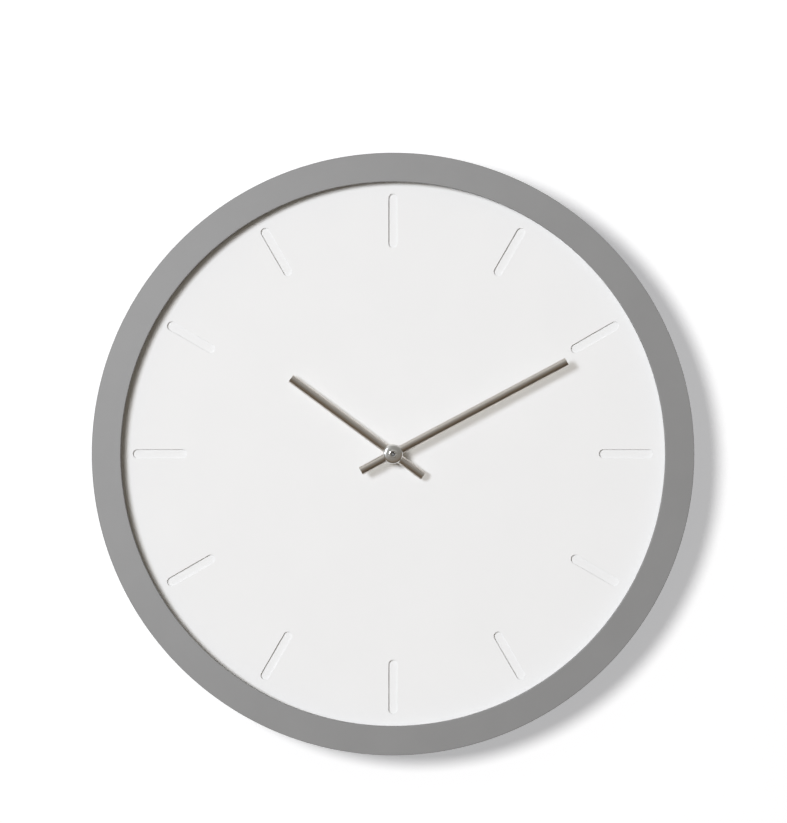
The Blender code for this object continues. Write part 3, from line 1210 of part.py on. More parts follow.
def hand_rod(name, reach, tail, angle, height, parent):
    """A round rod from its tail to its tip across the axis, with softened ends."""
    mesh = bpy.data.meshes.new(name)
    shape = bmesh.new()
    lay_down = Matrix.Rotation(math.pi / 2, 4, "Y")
    middle = Matrix.Translation(((reach - tail) / 2, 0, 0))
    bmesh.ops.create_cone(
        shape,
        cap_ends=True,
        segments=ROD_SIDES,
        radius1=ROD_RADIUS,
        radius2=ROD_RADIUS,
        depth=reach + tail,
        matrix=middle @ lay_down,
    )
    shape.to_mesh(mesh)
    shape.free()
    rod = place(name, mesh, parent, SATIN_NICKEL, (0, 0, height), (0, 0, angle))
    soften = rod.modifiers.new("ends", "BEVEL")
    soften.width = ROD_EDGE_ROUND
    soften.segments = 1
    soften.limit_method = "ANGLE"
    soften.angle_limit = SHARP_ANGLE
    return rod


def cross_hole(rod, radius, height, parent):
    """The hole through a rod on its axis of turning."""
    low = height - ROD_RADIUS - OVERRUN
    high = height + ROD_RADIUS + OVERRUN
    cut(rod, cylinders(rod.name + "_hole", [(CENTRE, radius, low, high, ARBOR_SIDES)], parent))


def build_hour_hand():
    """The hour hand and the disc under it."""
    hour = hand_rod("hour_hand", HOUR_REACH, HOUR_TAIL, HOUR_ANGLE, HOUR_ROD_Z, HOUR_AXIS_EMPTY)
    cross_hole(hour, MINUTE_ARBOR_RADIUS + PRESS_GAP, HOUR_ROD_Z, HOUR_AXIS_EMPTY)
    collet = tube_profile(
        HOUR_PIPE_RADIUS + PRESS_GAP, COLLET_DIAMETER / 2, COLLET_Z, COLLET_Z + COLLET_THICKNESS
    )
    turned("hour_collet", collet, LARGE_SIDES, HOUR_AXIS_EMPTY, CHROME)


def build_minute_hand():
    """The minute hand, the grooved cap over it and the nut on the cap."""
    axis = MINUTE_AXIS_EMPTY
    minute = hand_rod("minute_hand", MINUTE_REACH, MINUTE_TAIL, MINUTE_ANGLE, MINUTE_ROD_Z, axis)
    cross_hole(minute, THREAD_RADIUS + PRESS_GAP, MINUTE_ROD_Z, axis)

    cap_radius = HUB_CAP_DIAMETER / 2
    edge = HUB_CAP_EDGE_ROUND
    round_centre = (cap_radius - edge, HUB_CAP_TOP_Z - edge)
    hole_radius = THREAD_RADIUS + PRESS_GAP
    cap_low = MINUTE_ROD_Z - HUB_CAP_SKIRT
    cap_profile = (
        (hole_radius, HUB_CAP_TOP_Z),
        *arc(round_centre, edge, math.pi / 2, 0, HUB_CAP_EDGE_STEPS),
        (cap_radius, cap_low),
        (hole_radius, cap_low),
    )
    cap = turned("hub_cap", cap_profile, LARGE_SIDES, axis, CHROME)
    groove_half = ROD_RADIUS + SEAT_GAP
    groove = [
        *arc(CENTRE, groove_half, 0, math.pi, GROOVE_STEPS),
        (-groove_half, -HUB_CAP_SKIRT - OVERRUN),
        (groove_half, -HUB_CAP_SKIRT - OVERRUN),
    ]
    along_rod = (math.pi / 2, 0, MINUTE_ANGLE + math.pi / 2)
    cut(
        cap,
        extruded(
            "hub_cap_groove",
            [groove],
            -HUB_CAP_DIAMETER,
            HUB_CAP_DIAMETER,
            axis,
            None,
            along_rod,
            (0, 0, MINUTE_ROD_Z),
        ),
    )

    nut_top = CAP_NUT_Z + CAP_NUT_HEIGHT
    nut_radius = CAP_NUT_DIAMETER / 2
    nut_hole = CAP_NUT_HOLE_DIAMETER / 2
    nut_profile = (
        (nut_hole, nut_top),
        (nut_radius - CAP_NUT_EDGE, nut_top),
        (nut_radius, nut_top - CAP_NUT_EDGE),
        (nut_radius, CAP_NUT_Z),
        (nut_hole, CAP_NUT_Z),
    )
    turned("cap_nut", nut_profile, ROD_SIDES, axis, CHROME)


def shade(part):
    """Settles a part's modifiers into its mesh and shades its round faces smooth."""
    mesh = evaluated_mesh(part)
    part.modifiers.clear()
    part.data = mesh
    mesh.shade_smooth()
    mesh.set_sharp_from_angle(angle=SHARP_ANGLE)


def build_clock():
    """All pieces of the clock."""
    build_frame()
    build_dial()
    build_clips()
    build_hanger()
    build_case()
    build_bushing()
    build_cover()
    build_bridge()
    build_motor()
    build_circuit()
    build_battery()
    build_train()
    build_motion_work()
    build_minute_arbor()
    build_hour_hand()
    build_minute_hand()
    for part in [piece for piece in PARTS.objects if piece.type == "MESH"]:
        shade(part)


build_clock()
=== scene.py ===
import json
import math

import bmesh
import bpy
from mathutils import Matrix, Vector


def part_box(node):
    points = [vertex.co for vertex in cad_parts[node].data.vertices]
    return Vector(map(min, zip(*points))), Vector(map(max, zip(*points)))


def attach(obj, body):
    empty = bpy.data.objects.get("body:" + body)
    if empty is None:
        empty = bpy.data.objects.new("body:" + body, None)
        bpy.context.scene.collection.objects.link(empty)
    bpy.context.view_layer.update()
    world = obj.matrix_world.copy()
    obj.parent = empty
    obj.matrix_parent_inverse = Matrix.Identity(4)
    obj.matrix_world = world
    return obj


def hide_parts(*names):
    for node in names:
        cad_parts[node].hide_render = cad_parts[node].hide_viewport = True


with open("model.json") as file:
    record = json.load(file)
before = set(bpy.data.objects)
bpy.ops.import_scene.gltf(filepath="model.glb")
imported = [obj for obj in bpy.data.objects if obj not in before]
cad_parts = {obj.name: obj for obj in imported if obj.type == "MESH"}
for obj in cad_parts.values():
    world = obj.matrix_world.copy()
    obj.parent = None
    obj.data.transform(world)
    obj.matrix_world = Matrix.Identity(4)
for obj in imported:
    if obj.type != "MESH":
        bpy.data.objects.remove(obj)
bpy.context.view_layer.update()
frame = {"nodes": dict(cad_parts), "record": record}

# The clock's own frame: X right, Y up, Z from the wall towards the viewer. Lengths are in metres.
dial_low, dial_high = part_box("dial_plate")
CENTRE_HEIGHT = (dial_low.z + dial_high.z) / 2
CENTRE = Vector((0, 0, CENTRE_HEIGHT))
CLOCK = Matrix.Translation(CENTRE) @ Matrix.Rotation(math.pi / 2, 4, "X")

# Smoothness
RING_SIDES = 288
ROUND_SIDES = 96
HOLE_SIDES = 64
SMALL_SIDES = 48
SMALL_EDGE_STEPS = 3
EDGE_STEPS = 6
BEVEL_STEPS = 2
ROOM_SIDES = 48
SHARP = math.radians(35)
SAME_PLANE = math.radians(0.5)
SAME_POINT = 0.000002
FLAT_NORMAL = 0.9999

# Ring
FRAME_RADIUS = 0.175
FRAME_INNER_RADIUS = 0.1582
FRAME_WALL = 0.0026
FRONT_Z = 0.038
FACE_EDGE = 0.0004
FACE_SLOPE = math.radians(5)
BACK_EDGE = 0.0004
DIAL_POCKET_RADIUS = 0.1608
DIAL_CLEARANCE = 0.0003
CHANNEL_INNER_RADIUS = 0.1634
CHANNEL_OUTER_RADIUS = 0.1724
RIB_THICKNESS = 0.0016
RIB_COUNT = 12
RIB_SET_BACK = 0.0002
BOSS_RADIUS = 0.0031
SCREW_HOLE_RADIUS = 0.0015
SCREW_HOLE_DEPTH = 0.007

# Dial
DIAL_FRONT_Z = 0.0277
DIAL_BACK_Z = 0.0247
DIAL_RADIUS = 0.1604
DIAL_HOLE_RADIUS = 0.0039
BATON_COUNT = 12
BATON_LENGTH = 0.0314
BATON_WIDTH = 0.0052
BATON_OUTER_RADIUS = 0.1513
BATON_DEPTH = 0.0014
BATON_EDGE = 0.00008
BATON_END_STEPS = 24
BATON_FLOOR_Z = DIAL_FRONT_Z - BATON_DEPTH

# Hands and hub
ROD_RADIUS = 0.0026
ROD_EDGE = 0.0003
ROD_EDGE_STEPS = 4
HOUR_ROD_Z = 0.0337
HOUR_REACH = 0.0739
HOUR_TAIL = 0.0218
HOUR_ANGLE = math.radians(143.45)
MINUTE_ROD_Z = 0.0393
MINUTE_REACH = 0.1144
MINUTE_TAIL = 0.0212
MINUTE_ANGLE = math.radians(27.95)
HUB_RADIUS = 0.00575
HUB_SKIRT = 0.0014
HUB_LOW_Z = MINUTE_ROD_Z - HUB_SKIRT
HUB_TOP_Z = 0.043
HUB_EDGE = 0.0014
HUB_EDGE_STEPS = 12
HUB_SMALL_EDGE = 0.00015
HUB_FLAT_RADIUS = 0.0022
HUB_SLOPE = math.radians(7)
HUB_DOME_STEPS = 10
NUT_RADIUS = 0.00245
NUT_LOW_Z = 0.0433
NUT_TOP_Z = 0.0447
NUT_EDGE = 0.0004
NUT_HOLE_RADIUS = 0.0015
THREAD_RADIUS = 0.0012
COLLET_RADIUS = 0.00565
COLLET_LOW_Z = 0.0299
COLLET_HIGH_Z = 0.0308
PIPE_RADIUS = 0.0025
SEAT_GAP = 0.0001

# Dial clips and their screws
CLIP_COUNT = 4
CLIP_ANGLE = math.radians(45)
SCREW_CENTRE_RADIUS = (CHANNEL_INNER_RADIUS + CHANNEL_OUTER_RADIUS) / 2
SCREW_HEAD_RADIUS = 0.0028
SCREW_HEAD_HEIGHT = 0.0016
SCREW_RIM_SHARE = 0.25
SCREW_DOME_POWER = 0.8
SCREW_DOME_STEPS = 8
SCREW_SHANK_RADIUS = 0.0012
CROSS_LENGTH = 0.0032
CROSS_WIDTH = 0.00062
CROSS_DEPTH = 0.0009
CROSS_TAPER = 0.45
FIRST_SCREW_TURN = 0.6
NEXT_SCREW_TURN = 1.1

# Battery
BATTERY_RADIUS = 0.00725
BATTERY_EDGE = 0.0007
BATTERY_SHOULDER = 0.0495
BATTERY_LENGTH = 0.0505
SLEEVE_LAP = 0.0011
SLEEVE_THICKNESS = 0.0002
SLEEVE_OVERLAP = 0.0001
NUB_RADIUS = 0.00275
NUB_EDGE = 0.0003
NUB_EDGE_STEPS = 4
NUB_FOOT = (0.0009, 0.0011)
NUB_FOOT_DEPTH = 0.0001
CAN_END_DEPTH = 0.0004
MINUS_PLATE = (0.0006, 0.0009)
MINUS_PLATE_DEPTH = 0.0001
BAND_START = 0.0392
LINE_START = 0.0376
LINE_END = 0.0382
BAND_BLUR = 0.0001
BAND_COLOUR = (0.62, 0.61, 0.58)

# Setting knob, and the marks on the movement's cover
KNOB_RADIUS = 0.008
KNOB_FLUTES = 20
KNOB_FLUTE_DEPTH = 0.0005
KNOB_FLUTE_POWER = 1.5
KNOB_FLUTE_STEPS = 12
KNOB_EDGE = 0.0002
KNOB_DISH_RADIUS = 0.0059
KNOB_DISH_DEPTH = 0.0006
KNOB_HOLE_RADIUS = 0.0011
KNOB_HUB_WALL = 0.0014
KNOB_HUB_EDGE = 0.00015
KNOB_HUB_LOW = 0.0001
KNOB_OVERLAP = 0.0003
MARK_HEIGHT = 0.0003
MARK_EDGE = 0.00012
MARK_HALF_WIDTH = 0.00035
MARK_HALF_LENGTH = 0.0014
MARK_INSET = 0.006
MARK_RISE = 0.0033
ARROW_GAP = 0.0022
ARROW_START = math.radians(100)
ARROW_END = math.radians(170)
ARROW_STEPS = 24
ARROW_HEAD_ANGLE = 0.14
ARROW_HEAD_SHARE = 3

# Relief of the finishes, in patterns per metre
LATHE_RINGS = 9000.0
LATHE_GLOSS = (0.1, 0.24)
WIRE_WAVES = 25000.0
BOARD_CELLS = 420.0
TRACK_EDGES = (0.03, 0.05)
TRACK_COLOUR = (0.10, 0.34, 0.14)

# Painted shade in the dial's recesses: how far their floors and walls are darkened in colour, and the heights over
# which it sets in
FLOOR_PAINTED_SHADE = 0.01
RECESS_WALL_PAINTED_SHADE = 0.42
ABOVE_FLOOR = (0.00002, 0.00006)
BELOW_FACE = (0.0001, 0.00004)

# CAD nodes copied with rounded edges, each with the width that its edges get
SOFTENED_NODES = (
    ("dial_clip_1", 0.00015),
    ("dial_clip_2", 0.00015),
    ("dial_clip_3", 0.00015),
    ("dial_clip_4", 0.00015),
    ("hanger_plate", 0.00015),
    ("movement_cover", 0.0003),
    ("movement_case", 0.0003),
    ("shaft_nut", 0.0002),
    ("battery_contact", 0.00008),
)

# CAD nodes copied with smooth round faces, each with the body it rides on
SMOOTHED_NODES = (
    ("battery_spring", "clock"),
    ("rubber_washer", "clock"),
    ("threaded_bushing", "clock"),
    ("minute_arbor", "minute"),
    ("setting_pinion", "setting"),
)

# Photograph and camera; the sensor is measured in millimetres
IMAGE_WIDTH = 787
IMAGE_HEIGHT = 823
CLOCK_IN_IMAGE = (393.0, 454.0)
CLOCK_RADIUS_IN_IMAGE = 301.4
METRES_PER_PIXEL = FRAME_RADIUS / CLOCK_RADIUS_IN_IMAGE
CAMERA_DISTANCE = 5.0
CAMERA_RANGE = 50
SENSOR_WIDTH = 36.0

# Lamps in front. A direction is an angle from the right, seen from the front, and a tilt is an angle off the axis.
KEY_TILT = math.radians(25)
KEY_DIRECTION = math.radians(159)
KEY_DISTANCE = 7.0
KEY_SIZE = 1.62
KEY_LEVEL = 0.41
KEY_COLOUR = (0.95, 0.99, 1.07)
SOFT_TILT = math.radians(18.5)
SOFT_DIRECTION = math.radians(153)
SOFT_DISTANCE = 6.5
SOFT_SIZE = 1.7
SOFT_LEVEL = 0.425
SOFT_COLOUR = (1.01, 1.0, 0.99)
WALL_TILT = math.radians(23.7)
WALL_DIRECTION = math.radians(158)
WALL_DISTANCE = 7.0
WALL_LAMP_SIZE = 1.75
WALL_LEVEL = 0.67

# Lamps behind, with their places as seen from the clock's middle
WHITE = (1, 1, 1)
REAR_LAMP_SIZE = 1.0
REAR_LAMPS = (
    ("rear_lamp_left", (-1.1, 1.6, 1.0), 0.55),
    ("rear_lamp_right", (1.3, 1.7, 0.4), 0.35),
)

# Wall and room
WALL_COLOUR = (0.82, 0.82, 0.82)
WALL_GLOW_COLOUR = (0.96, 0.99, 1.05)
WALL_GLOW = 0.368
WALL_HALF_WIDTH = 2.5
WALL_Y = 0.0005
FILL_COLOUR = (0.17, 0.15, 0.122)
ROOM_RADIUS = 9.0
ROOM_UP = math.radians(103)
REAR_SHADE = (0.72, 0.73, 0.75)
REAR_SHARE = 0.62
REAR_DEPTHS = (0.5, 5.0)
ROOM_SHADES = (
    (0.0, (0.085, 0.068, 0.050)),
    (0.125, (0.125, 0.100, 0.074)),
    (0.3, (0.200, 0.155, 0.115)),
    (0.42, (0.240, 0.205, 0.170)),
    (0.5, (0.26, 0.25, 0.23)),
    (0.7, (0.37, 0.36, 0.34)),
    (0.85, (0.54, 0.53, 0.51)),
    (1.0, (0.9, 0.9, 0.88)),
)


def new_node(tree, kind, inputs=None, **settings):
    """A node with its settings; an input takes a value or another node's socket."""
    node = tree.nodes.new(kind)
    for key, value in settings.items():
        setattr(node, key, value)
    for key, value in (inputs or {}).items():
        if isinstance(value, bpy.types.NodeSocket):
            tree.links.new(value, node.inputs[key])
        else:
            node.inputs[key].default_value = value
    return node


def blank_material(name):
    """A material with an empty node tree and its output node."""
    material = bpy.data.materials.new(name)
    material.use_nodes = True
    tree = material.node_tree
    tree.nodes.clear()
    output = tree.nodes.new("ShaderNodeOutputMaterial")
    return material, tree, output


def computed(tree, operation, *values):
    """The result of a math node on values or sockets."""
    return new_node(tree, "ShaderNodeMath", dict(enumerate(values)), operation=operation).outputs["Value"]


def along(tree, place, axis):
    """How far a place lies along an axis."""
    return new_node(tree, "ShaderNodeSeparateXYZ", {"Vector": place}).outputs[axis]


def noise(tree, vector, scale, detail=3.0, roughness=0.55):
    """A noise value at a scale, in patterns per metre."""
    inputs = {"Vector": vector, "Scale": scale, "Detail": detail, "Roughness": roughness}
    return new_node(tree, "ShaderNodeTexNoise", inputs).outputs["Fac"]


def ranged(tree, value, low, high, start=0.3, end=0.7):
    """A value mapped from start..end to low..high."""
    inputs = {"Value": value, "From Min": start, "From Max": end, "To Min": low, "To Max": high}
    return new_node(tree, "ShaderNodeMapRange", inputs).outputs["Result"]


def blended(tree, factor, first, second):
    """A colour between two, each a tuple or a socket."""
    mix = new_node(tree, "ShaderNodeMix", data_type="RGBA")
    tree.links.new(factor, mix.inputs["Factor"])
    for key, colour in (("A", first), ("B", second)):
        sockets = [socket for socket in mix.inputs if socket.name == key and socket.type == "RGBA"]
        if isinstance(colour, bpy.types.NodeSocket):
            tree.links.new(colour, sockets[0])
        else:
            sockets[0].default_value = (*colour, 1)
    return [socket for socket in mix.outputs if socket.type == "RGBA"][0]


def surface(name, light, dark, gloss, metallic=0.0, mottle=60.0, grain=2500.0, bump=0.1,
            depth=0.00002, stretch=(1, 1, 1), extra=None, **shader_values):
    """A material with slow mottling in its colour, and a fine grain in its gloss and its bump."""
    material, tree, output = blank_material(name)
    place = new_node(tree, "ShaderNodeTexCoord").outputs["Object"]
    stretched = new_node(tree, "ShaderNodeMapping", {"Vector": place, "Scale": stretch}).outputs["Vector"]
    slow = noise(tree, stretched, mottle)
    fine = noise(tree, stretched, grain, detail=2.0)
    colour = blended(tree, ranged(tree, slow, 0, 1), dark, light)
    rough = ranged(tree, fine, *gloss)
    height = fine
    if extra is not None:
        colour, rough, height = extra(tree, place, colour, rough, height)
    relief = new_node(tree, "ShaderNodeBump", {"Height": height, "Strength": bump, "Distance": depth})
    inputs = {"Base Color": colour, "Roughness": rough, "Metallic": metallic, "Normal": relief.outputs["Normal"]}
    shader = new_node(tree, "ShaderNodeBsdfPrincipled", inputs)
    for key, value in shader_values.items():
        shader.inputs[key.replace("_", " ")].default_value = value
    tree.links.new(shader.outputs["BSDF"], output.inputs["Surface"])
    return material


def turned_grain(tree, place, colour, rough, height):
    """Fine rings round the local Z axis, as a lathe leaves them."""
    flat = new_node(tree, "ShaderNodeVectorMath", {0: place, 1: (1, 1, 0)}, operation="MULTIPLY")
    radius = new_node(tree, "ShaderNodeVectorMath", {0: flat.outputs["Vector"]}, operation="LENGTH")
    at = new_node(tree, "ShaderNodeCombineXYZ", {"X": radius.outputs["Value"]})
    rings = noise(tree, at.outputs["Vector"], LATHE_RINGS, detail=2.0)
    return colour, ranged(tree, rings, *LATHE_GLOSS), rings


def wound_wire(tree, place, colour, rough, height):
    """Turns of thin wire laid side by side along the local Y axis."""
    turns = computed(tree, "MULTIPLY", along(tree, place, "Y"), WIRE_WAVES)
    return colour, rough, computed(tree, "ABSOLUTE", computed(tree, "SINE", turns))


def board_tracks(tree, place, colour, rough, height):
    """Pale copper tracks under the green lacquer."""
    inputs = {"Vector": place, "Scale": BOARD_CELLS}
    cells = new_node(tree, "ShaderNodeTexVoronoi", inputs, feature="DISTANCE_TO_EDGE", distance="EUCLIDEAN")
    track = ranged(tree, cells.outputs["Distance"], 1, 0, *TRACK_EDGES)
    return blended(tree, track, colour, TRACK_COLOUR), rough, track


def sleeve_bands(tree, place, colour, rough, height):
    """A pale band near the plus end of the cell, and a thin line beside it."""
    length = along(tree, place, "Z")
    band = ranged(tree, length, 0, 1, BAND_START, BAND_START + BAND_BLUR)
    line_start = ranged(tree, length, 0, 1, LINE_START, LINE_START + BAND_BLUR)
    line_end = ranged(tree, length, 1, 0, LINE_END, LINE_END + BAND_BLUR)
    line = computed(tree, "MULTIPLY", line_start, line_end)
    pale = computed(tree, "MAXIMUM", band, line)
    return blended(tree, pale, colour, BAND_COLOUR), rough, height


def painted_recess_shade(tree, place, colour, rough, height):
    """Painted shade: the walls of the dial's recesses are darkened in colour against its face, and their floors a
    touch.
    """
    level = along(tree, place, "Z")
    sets_in = [BATON_FLOOR_Z + rise for rise in ABOVE_FLOOR]
    ends = [DIAL_FRONT_Z - drop for drop in BELOW_FACE]
    # Painted shade: the colour is blended towards black on the recess walls, and a touch on their floors.
    painted_shade = ranged(tree, level, FLOOR_PAINTED_SHADE, RECESS_WALL_PAINTED_SHADE, *sets_in)
    below = ranged(tree, level, 1, 0, *ends)
    share = computed(tree, "MULTIPLY", painted_shade, below)
    return blended(tree, share, colour, (0, 0, 0)), rough, height


FINISHES = {
    "grey_paint": surface(
        "grey_paint_finish", (0.250, 0.250, 0.249), (0.239, 0.239, 0.238), (0.49, 0.57),
        mottle=40.0, grain=5200.0, bump=0.12),
    # The dial's material is white, with painted shade on the walls and floors of its recesses.
    "dial_white": surface(
        "dial_white_and_painted_recess_shade", (0.868, 0.870, 0.866), (0.858, 0.860, 0.857), (0.78, 0.86),
        mottle=30.0, grain=4200.0, bump=0.05, extra=painted_recess_shade, Specular_IOR_Level=0.3),
    "satin_nickel": surface(
        "satin_nickel_finish", (0.69, 0.655, 0.615), (0.62, 0.59, 0.55), (0.24, 0.32), 1.0,
        mottle=90.0, grain=7000.0, bump=0.12, stretch=(1, 1, 0.015)),
    "chrome": surface(
        "chrome_finish", (0.80, 0.80, 0.79), (0.74, 0.74, 0.72), (0.10, 0.2), 1.0,
        mottle=400.0, bump=0.2, depth=0.000006, extra=turned_grain),
    "steel": surface(
        "zinc_steel_finish", (0.62, 0.63, 0.65), (0.50, 0.51, 0.53), (0.28, 0.42), 1.0,
        mottle=300.0, grain=6000.0, bump=0.1),
    "brass": surface(
        "brass_finish", (0.80, 0.62, 0.32), (0.70, 0.52, 0.25), (0.22, 0.36), 1.0,
        mottle=300.0, grain=6000.0, bump=0.1),
    "black_plastic": surface(
        "black_plastic_finish", (0.030, 0.030, 0.031), (0.022, 0.022, 0.023), (0.42, 0.56),
        mottle=120.0, grain=5500.0, bump=0.35),
    "white_plastic": surface(
        "white_plastic_finish", (0.78, 0.77, 0.73), (0.72, 0.71, 0.67), (0.34, 0.44),
        mottle=150.0, grain=5000.0, bump=0.08, Subsurface_Weight=0.1, Subsurface_Scale=0.0008),
    "rubber": surface(
        "rubber_finish", (0.040, 0.040, 0.040), (0.028, 0.028, 0.028), (0.75, 0.9),
        mottle=200.0, grain=4500.0, bump=0.3),
    "magnet": surface(
        "magnet_finish", (0.13, 0.13, 0.14), (0.09, 0.09, 0.10), (0.4, 0.6), 0.6,
        mottle=900.0, grain=7000.0, bump=0.25),
    "copper": surface(
        "copper_wire_finish", (0.80, 0.38, 0.20), (0.66, 0.29, 0.14), (0.22, 0.32), 1.0,
        mottle=300.0, bump=0.8, depth=0.00004, extra=wound_wire),
    "board_green": surface(
        "board_finish", (0.035, 0.20, 0.075), (0.028, 0.17, 0.06), (0.25, 0.35),
        mottle=200.0, bump=0.3, extra=board_tracks),
    "battery_sleeve": surface(
        "battery_finish", (0.045, 0.055, 0.075), (0.038, 0.047, 0.066), (0.24, 0.32), 0.35,
        mottle=120.0, grain=3000.0, bump=0.06, extra=sleeve_bands),
}
MARK_PLASTIC = surface(
    "mark_finish", (0.20, 0.20, 0.20), (0.16, 0.16, 0.16), (0.5, 0.6),
    mottle=120.0, grain=5500.0, bump=0.2)
SLOT_OF = {part["node"]: part["material_slot"] for part in frame["record"]["subparts"]}
for node_name, node in frame["nodes"].items():
    node.data.materials.clear()
    node.data.materials.append(FINISHES[SLOT_OF[node_name]])


def polar(radius, angle):
    """The point at a distance and an angle from the middle."""
    return radius * math.cos(angle), radius * math.sin(angle)


def arc(centre, radius, start, end, steps):
    """Points on an arc, with its ends."""
    spots = []
    for step in range(steps + 1):
        x, y = polar(radius, start + (end - start) * step / steps)
        spots.append((centre[0] + x, centre[1] + y))
    return spots


def circle(radius, sides):
    """A round outline."""
    return [polar(radius, math.tau * side / sides) for side in range(sides)]


def stadium(middle, length, width, angle, steps):
    """The outline of a slot with round ends, at a distance from the middle and turned by an angle."""
    half = (length - width) / 2
    spots = [
        *arc((middle + half, 0), width / 2, -math.pi / 2, math.pi / 2, steps),
        *arc((middle - half, 0), width / 2, math.pi / 2, math.pi * 3 / 2, steps),
    ]
    turn = Matrix.Rotation(angle, 2)
    return [tuple(turn @ Vector(spot)) for spot in spots]


def linked(name, data):
    """A new object in the scene."""
    thing = bpy.data.objects.new(name, data)
    bpy.context.scene.collection.objects.link(thing)
    return thing


def plain_mesh(name, shape):
    """The mesh of a bmesh, which is freed."""
    mesh = bpy.data.meshes.new(name)
    shape.to_mesh(mesh)
    shape.free()
    return mesh


def finished_mesh(name, shape):
    """The mesh of a bmesh, with its faces out, its round faces smooth and the faces across Z flat."""
    bmesh.ops.recalc_face_normals(shape, faces=shape.faces)
    mesh = plain_mesh(name, shape)
    mesh.shade_smooth()
    mesh.set_sharp_from_angle(angle=SHARP)
    for face in mesh.polygons:
        face.use_smooth = abs(face.normal.z) < FLAT_NORMAL
    return mesh


def add_part(shape, part):
    """Adds the faces of another bmesh, which is freed."""
    mesh = plain_mesh("part", part)
    shape.from_mesh(mesh)
    bpy.data.meshes.remove(mesh)


def turned(shape, profile, sides, matrix=Matrix.Identity(4)):
    """Turns a profile of (radius, height) about Z; it is closed where it doesn't meet the axis."""
    rings = []
    for radius, height in profile:
        if radius == 0:
            rings.append([shape.verts.new(matrix @ Vector((0, 0, height)))] * sides)
            continue
        ring = []
        for x, y in circle(radius, sides):
            ring.append(shape.verts.new(matrix @ Vector((x, y, height))))
        rings.append(ring)
    pairs = list(zip(rings, rings[1:]))
    if profile[0][0] > 0:
        pairs.append((rings[-1], rings[0]))
    for first, second in pairs:
        for side in range(sides):
            after = (side + 1) % sides
            corners = (first[side], first[after], second[after], second[side])
            shape.faces.new(list(dict.fromkeys(corners)))


def turned_mesh(name, profile):
    """The finished mesh of a turned profile."""
    shape = bmesh.new()
    turned(shape, profile, ROUND_SIDES)
    return finished_mesh(name, shape)


def drawn(outlines, low, high, edge):
    """A bmesh of flat outlines, the later ones holes, drawn out along Z with rounded edges."""
    curve = bpy.data.curves.new("outline", "CURVE")
    curve.dimensions = "2D"
    curve.fill_mode = "BOTH"
    curve.extrude = (high - low) / 2 - edge
    curve.bevel_depth = edge
    curve.bevel_resolution = BEVEL_STEPS
    curve.offset = -edge
    for outline in outlines:
        spline = curve.splines.new("POLY")
        spline.points.add(len(outline) - 1)
        for spot, (x, y) in zip(spline.points, outline):
            spot.co = (x, y, 0, 1)
        spline.use_cyclic_u = True
    holder = linked("outline", curve)
    graph = bpy.context.evaluated_depsgraph_get()
    mesh = bpy.data.meshes.new_from_object(holder.evaluated_get(graph))
    bpy.data.objects.remove(holder)
    shape = bmesh.new()
    shape.from_mesh(mesh)
    bpy.data.meshes.remove(mesh)
    bmesh.ops.remove_doubles(shape, verts=shape.verts, dist=SAME_POINT)
    bmesh.ops.translate(shape, verts=shape.verts, vec=(0, 0, (low + high) / 2))
    return shape


def cut_mesh(mesh, cutters):
    """The mesh with the cutter meshes taken out of it."""
    body = linked("blank", mesh)
    tools = [linked("cutter", cutter) for cutter in cutters]
    for tool in tools:
        step = body.modifiers.new("cut", "BOOLEAN")
        step.operation = "DIFFERENCE"
        step.solver = "EXACT"
        step.object = tool
    graph = bpy.context.evaluated_depsgraph_get()
    result = bpy.data.meshes.new_from_object(body.evaluated_get(graph))
    for thing in (body, *tools):
        bpy.data.objects.remove(thing)
    return result


def cad_shape(node_name):
    """A bmesh of a CAD node's solid, with its double points joined."""
    shape = bmesh.new()
    shape.from_mesh(frame["nodes"][node_name].data)
    bmesh.ops.remove_doubles(shape, verts=shape.verts, dist=SAME_POINT)
    return shape


def add_piece(name, mesh, body, slot, stands_for, matrix=CLOCK):
    """A piece of the clock that stands for a CAD node."""
    piece = linked(name, mesh)
    piece.matrix_world = matrix
    mesh.materials.append(FINISHES[slot])
    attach(piece, body)
    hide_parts(stands_for)
    flatten = piece.modifiers.new("flat_faces", "WEIGHTED_NORMAL")
    flatten.keep_sharp = True
    return piece


def softened(node_name, width, body):
    """A copy of a rigid CAD node with rounded edges, which stands for the node."""
    shape = cad_shape(node_name)
    bmesh.ops.dissolve_limit(shape, angle_limit=SAME_PLANE, verts=shape.verts, edges=shape.edges)
    mesh = plain_mesh(node_name + "_softened", shape)
    piece = add_piece(node_name + "_piece", mesh, body, SLOT_OF[node_name], node_name, Matrix.Identity(4))
    bevel = piece.modifiers.new("edges", "BEVEL")
    bevel.width = width
    bevel.segments = BEVEL_STEPS
    bevel.limit_method = "ANGLE"
    bevel.angle_limit = SHARP
    piece.modifiers.move(1, 0)
    mesh.shade_smooth()


def smoothed(node_name, body):
    """A copy of a rigid CAD node with its round faces smooth, which stands for the node."""
    mesh = finished_mesh(node_name + "_smooth", cad_shape(node_name))
    add_piece(node_name + "_piece", mesh, body, SLOT_OF[node_name], node_name, Matrix.Identity(4))


def face_z(radius):
    """The height of the ring's face, which falls away slightly outwards."""
    return FRONT_Z - (radius - FRAME_INNER_RADIUS) * math.tan(FACE_SLOPE)


def clip_angle(number):
    """The angle of a dial clip, its screw and its boss."""
    return CLIP_ANGLE + math.tau * number / CLIP_COUNT


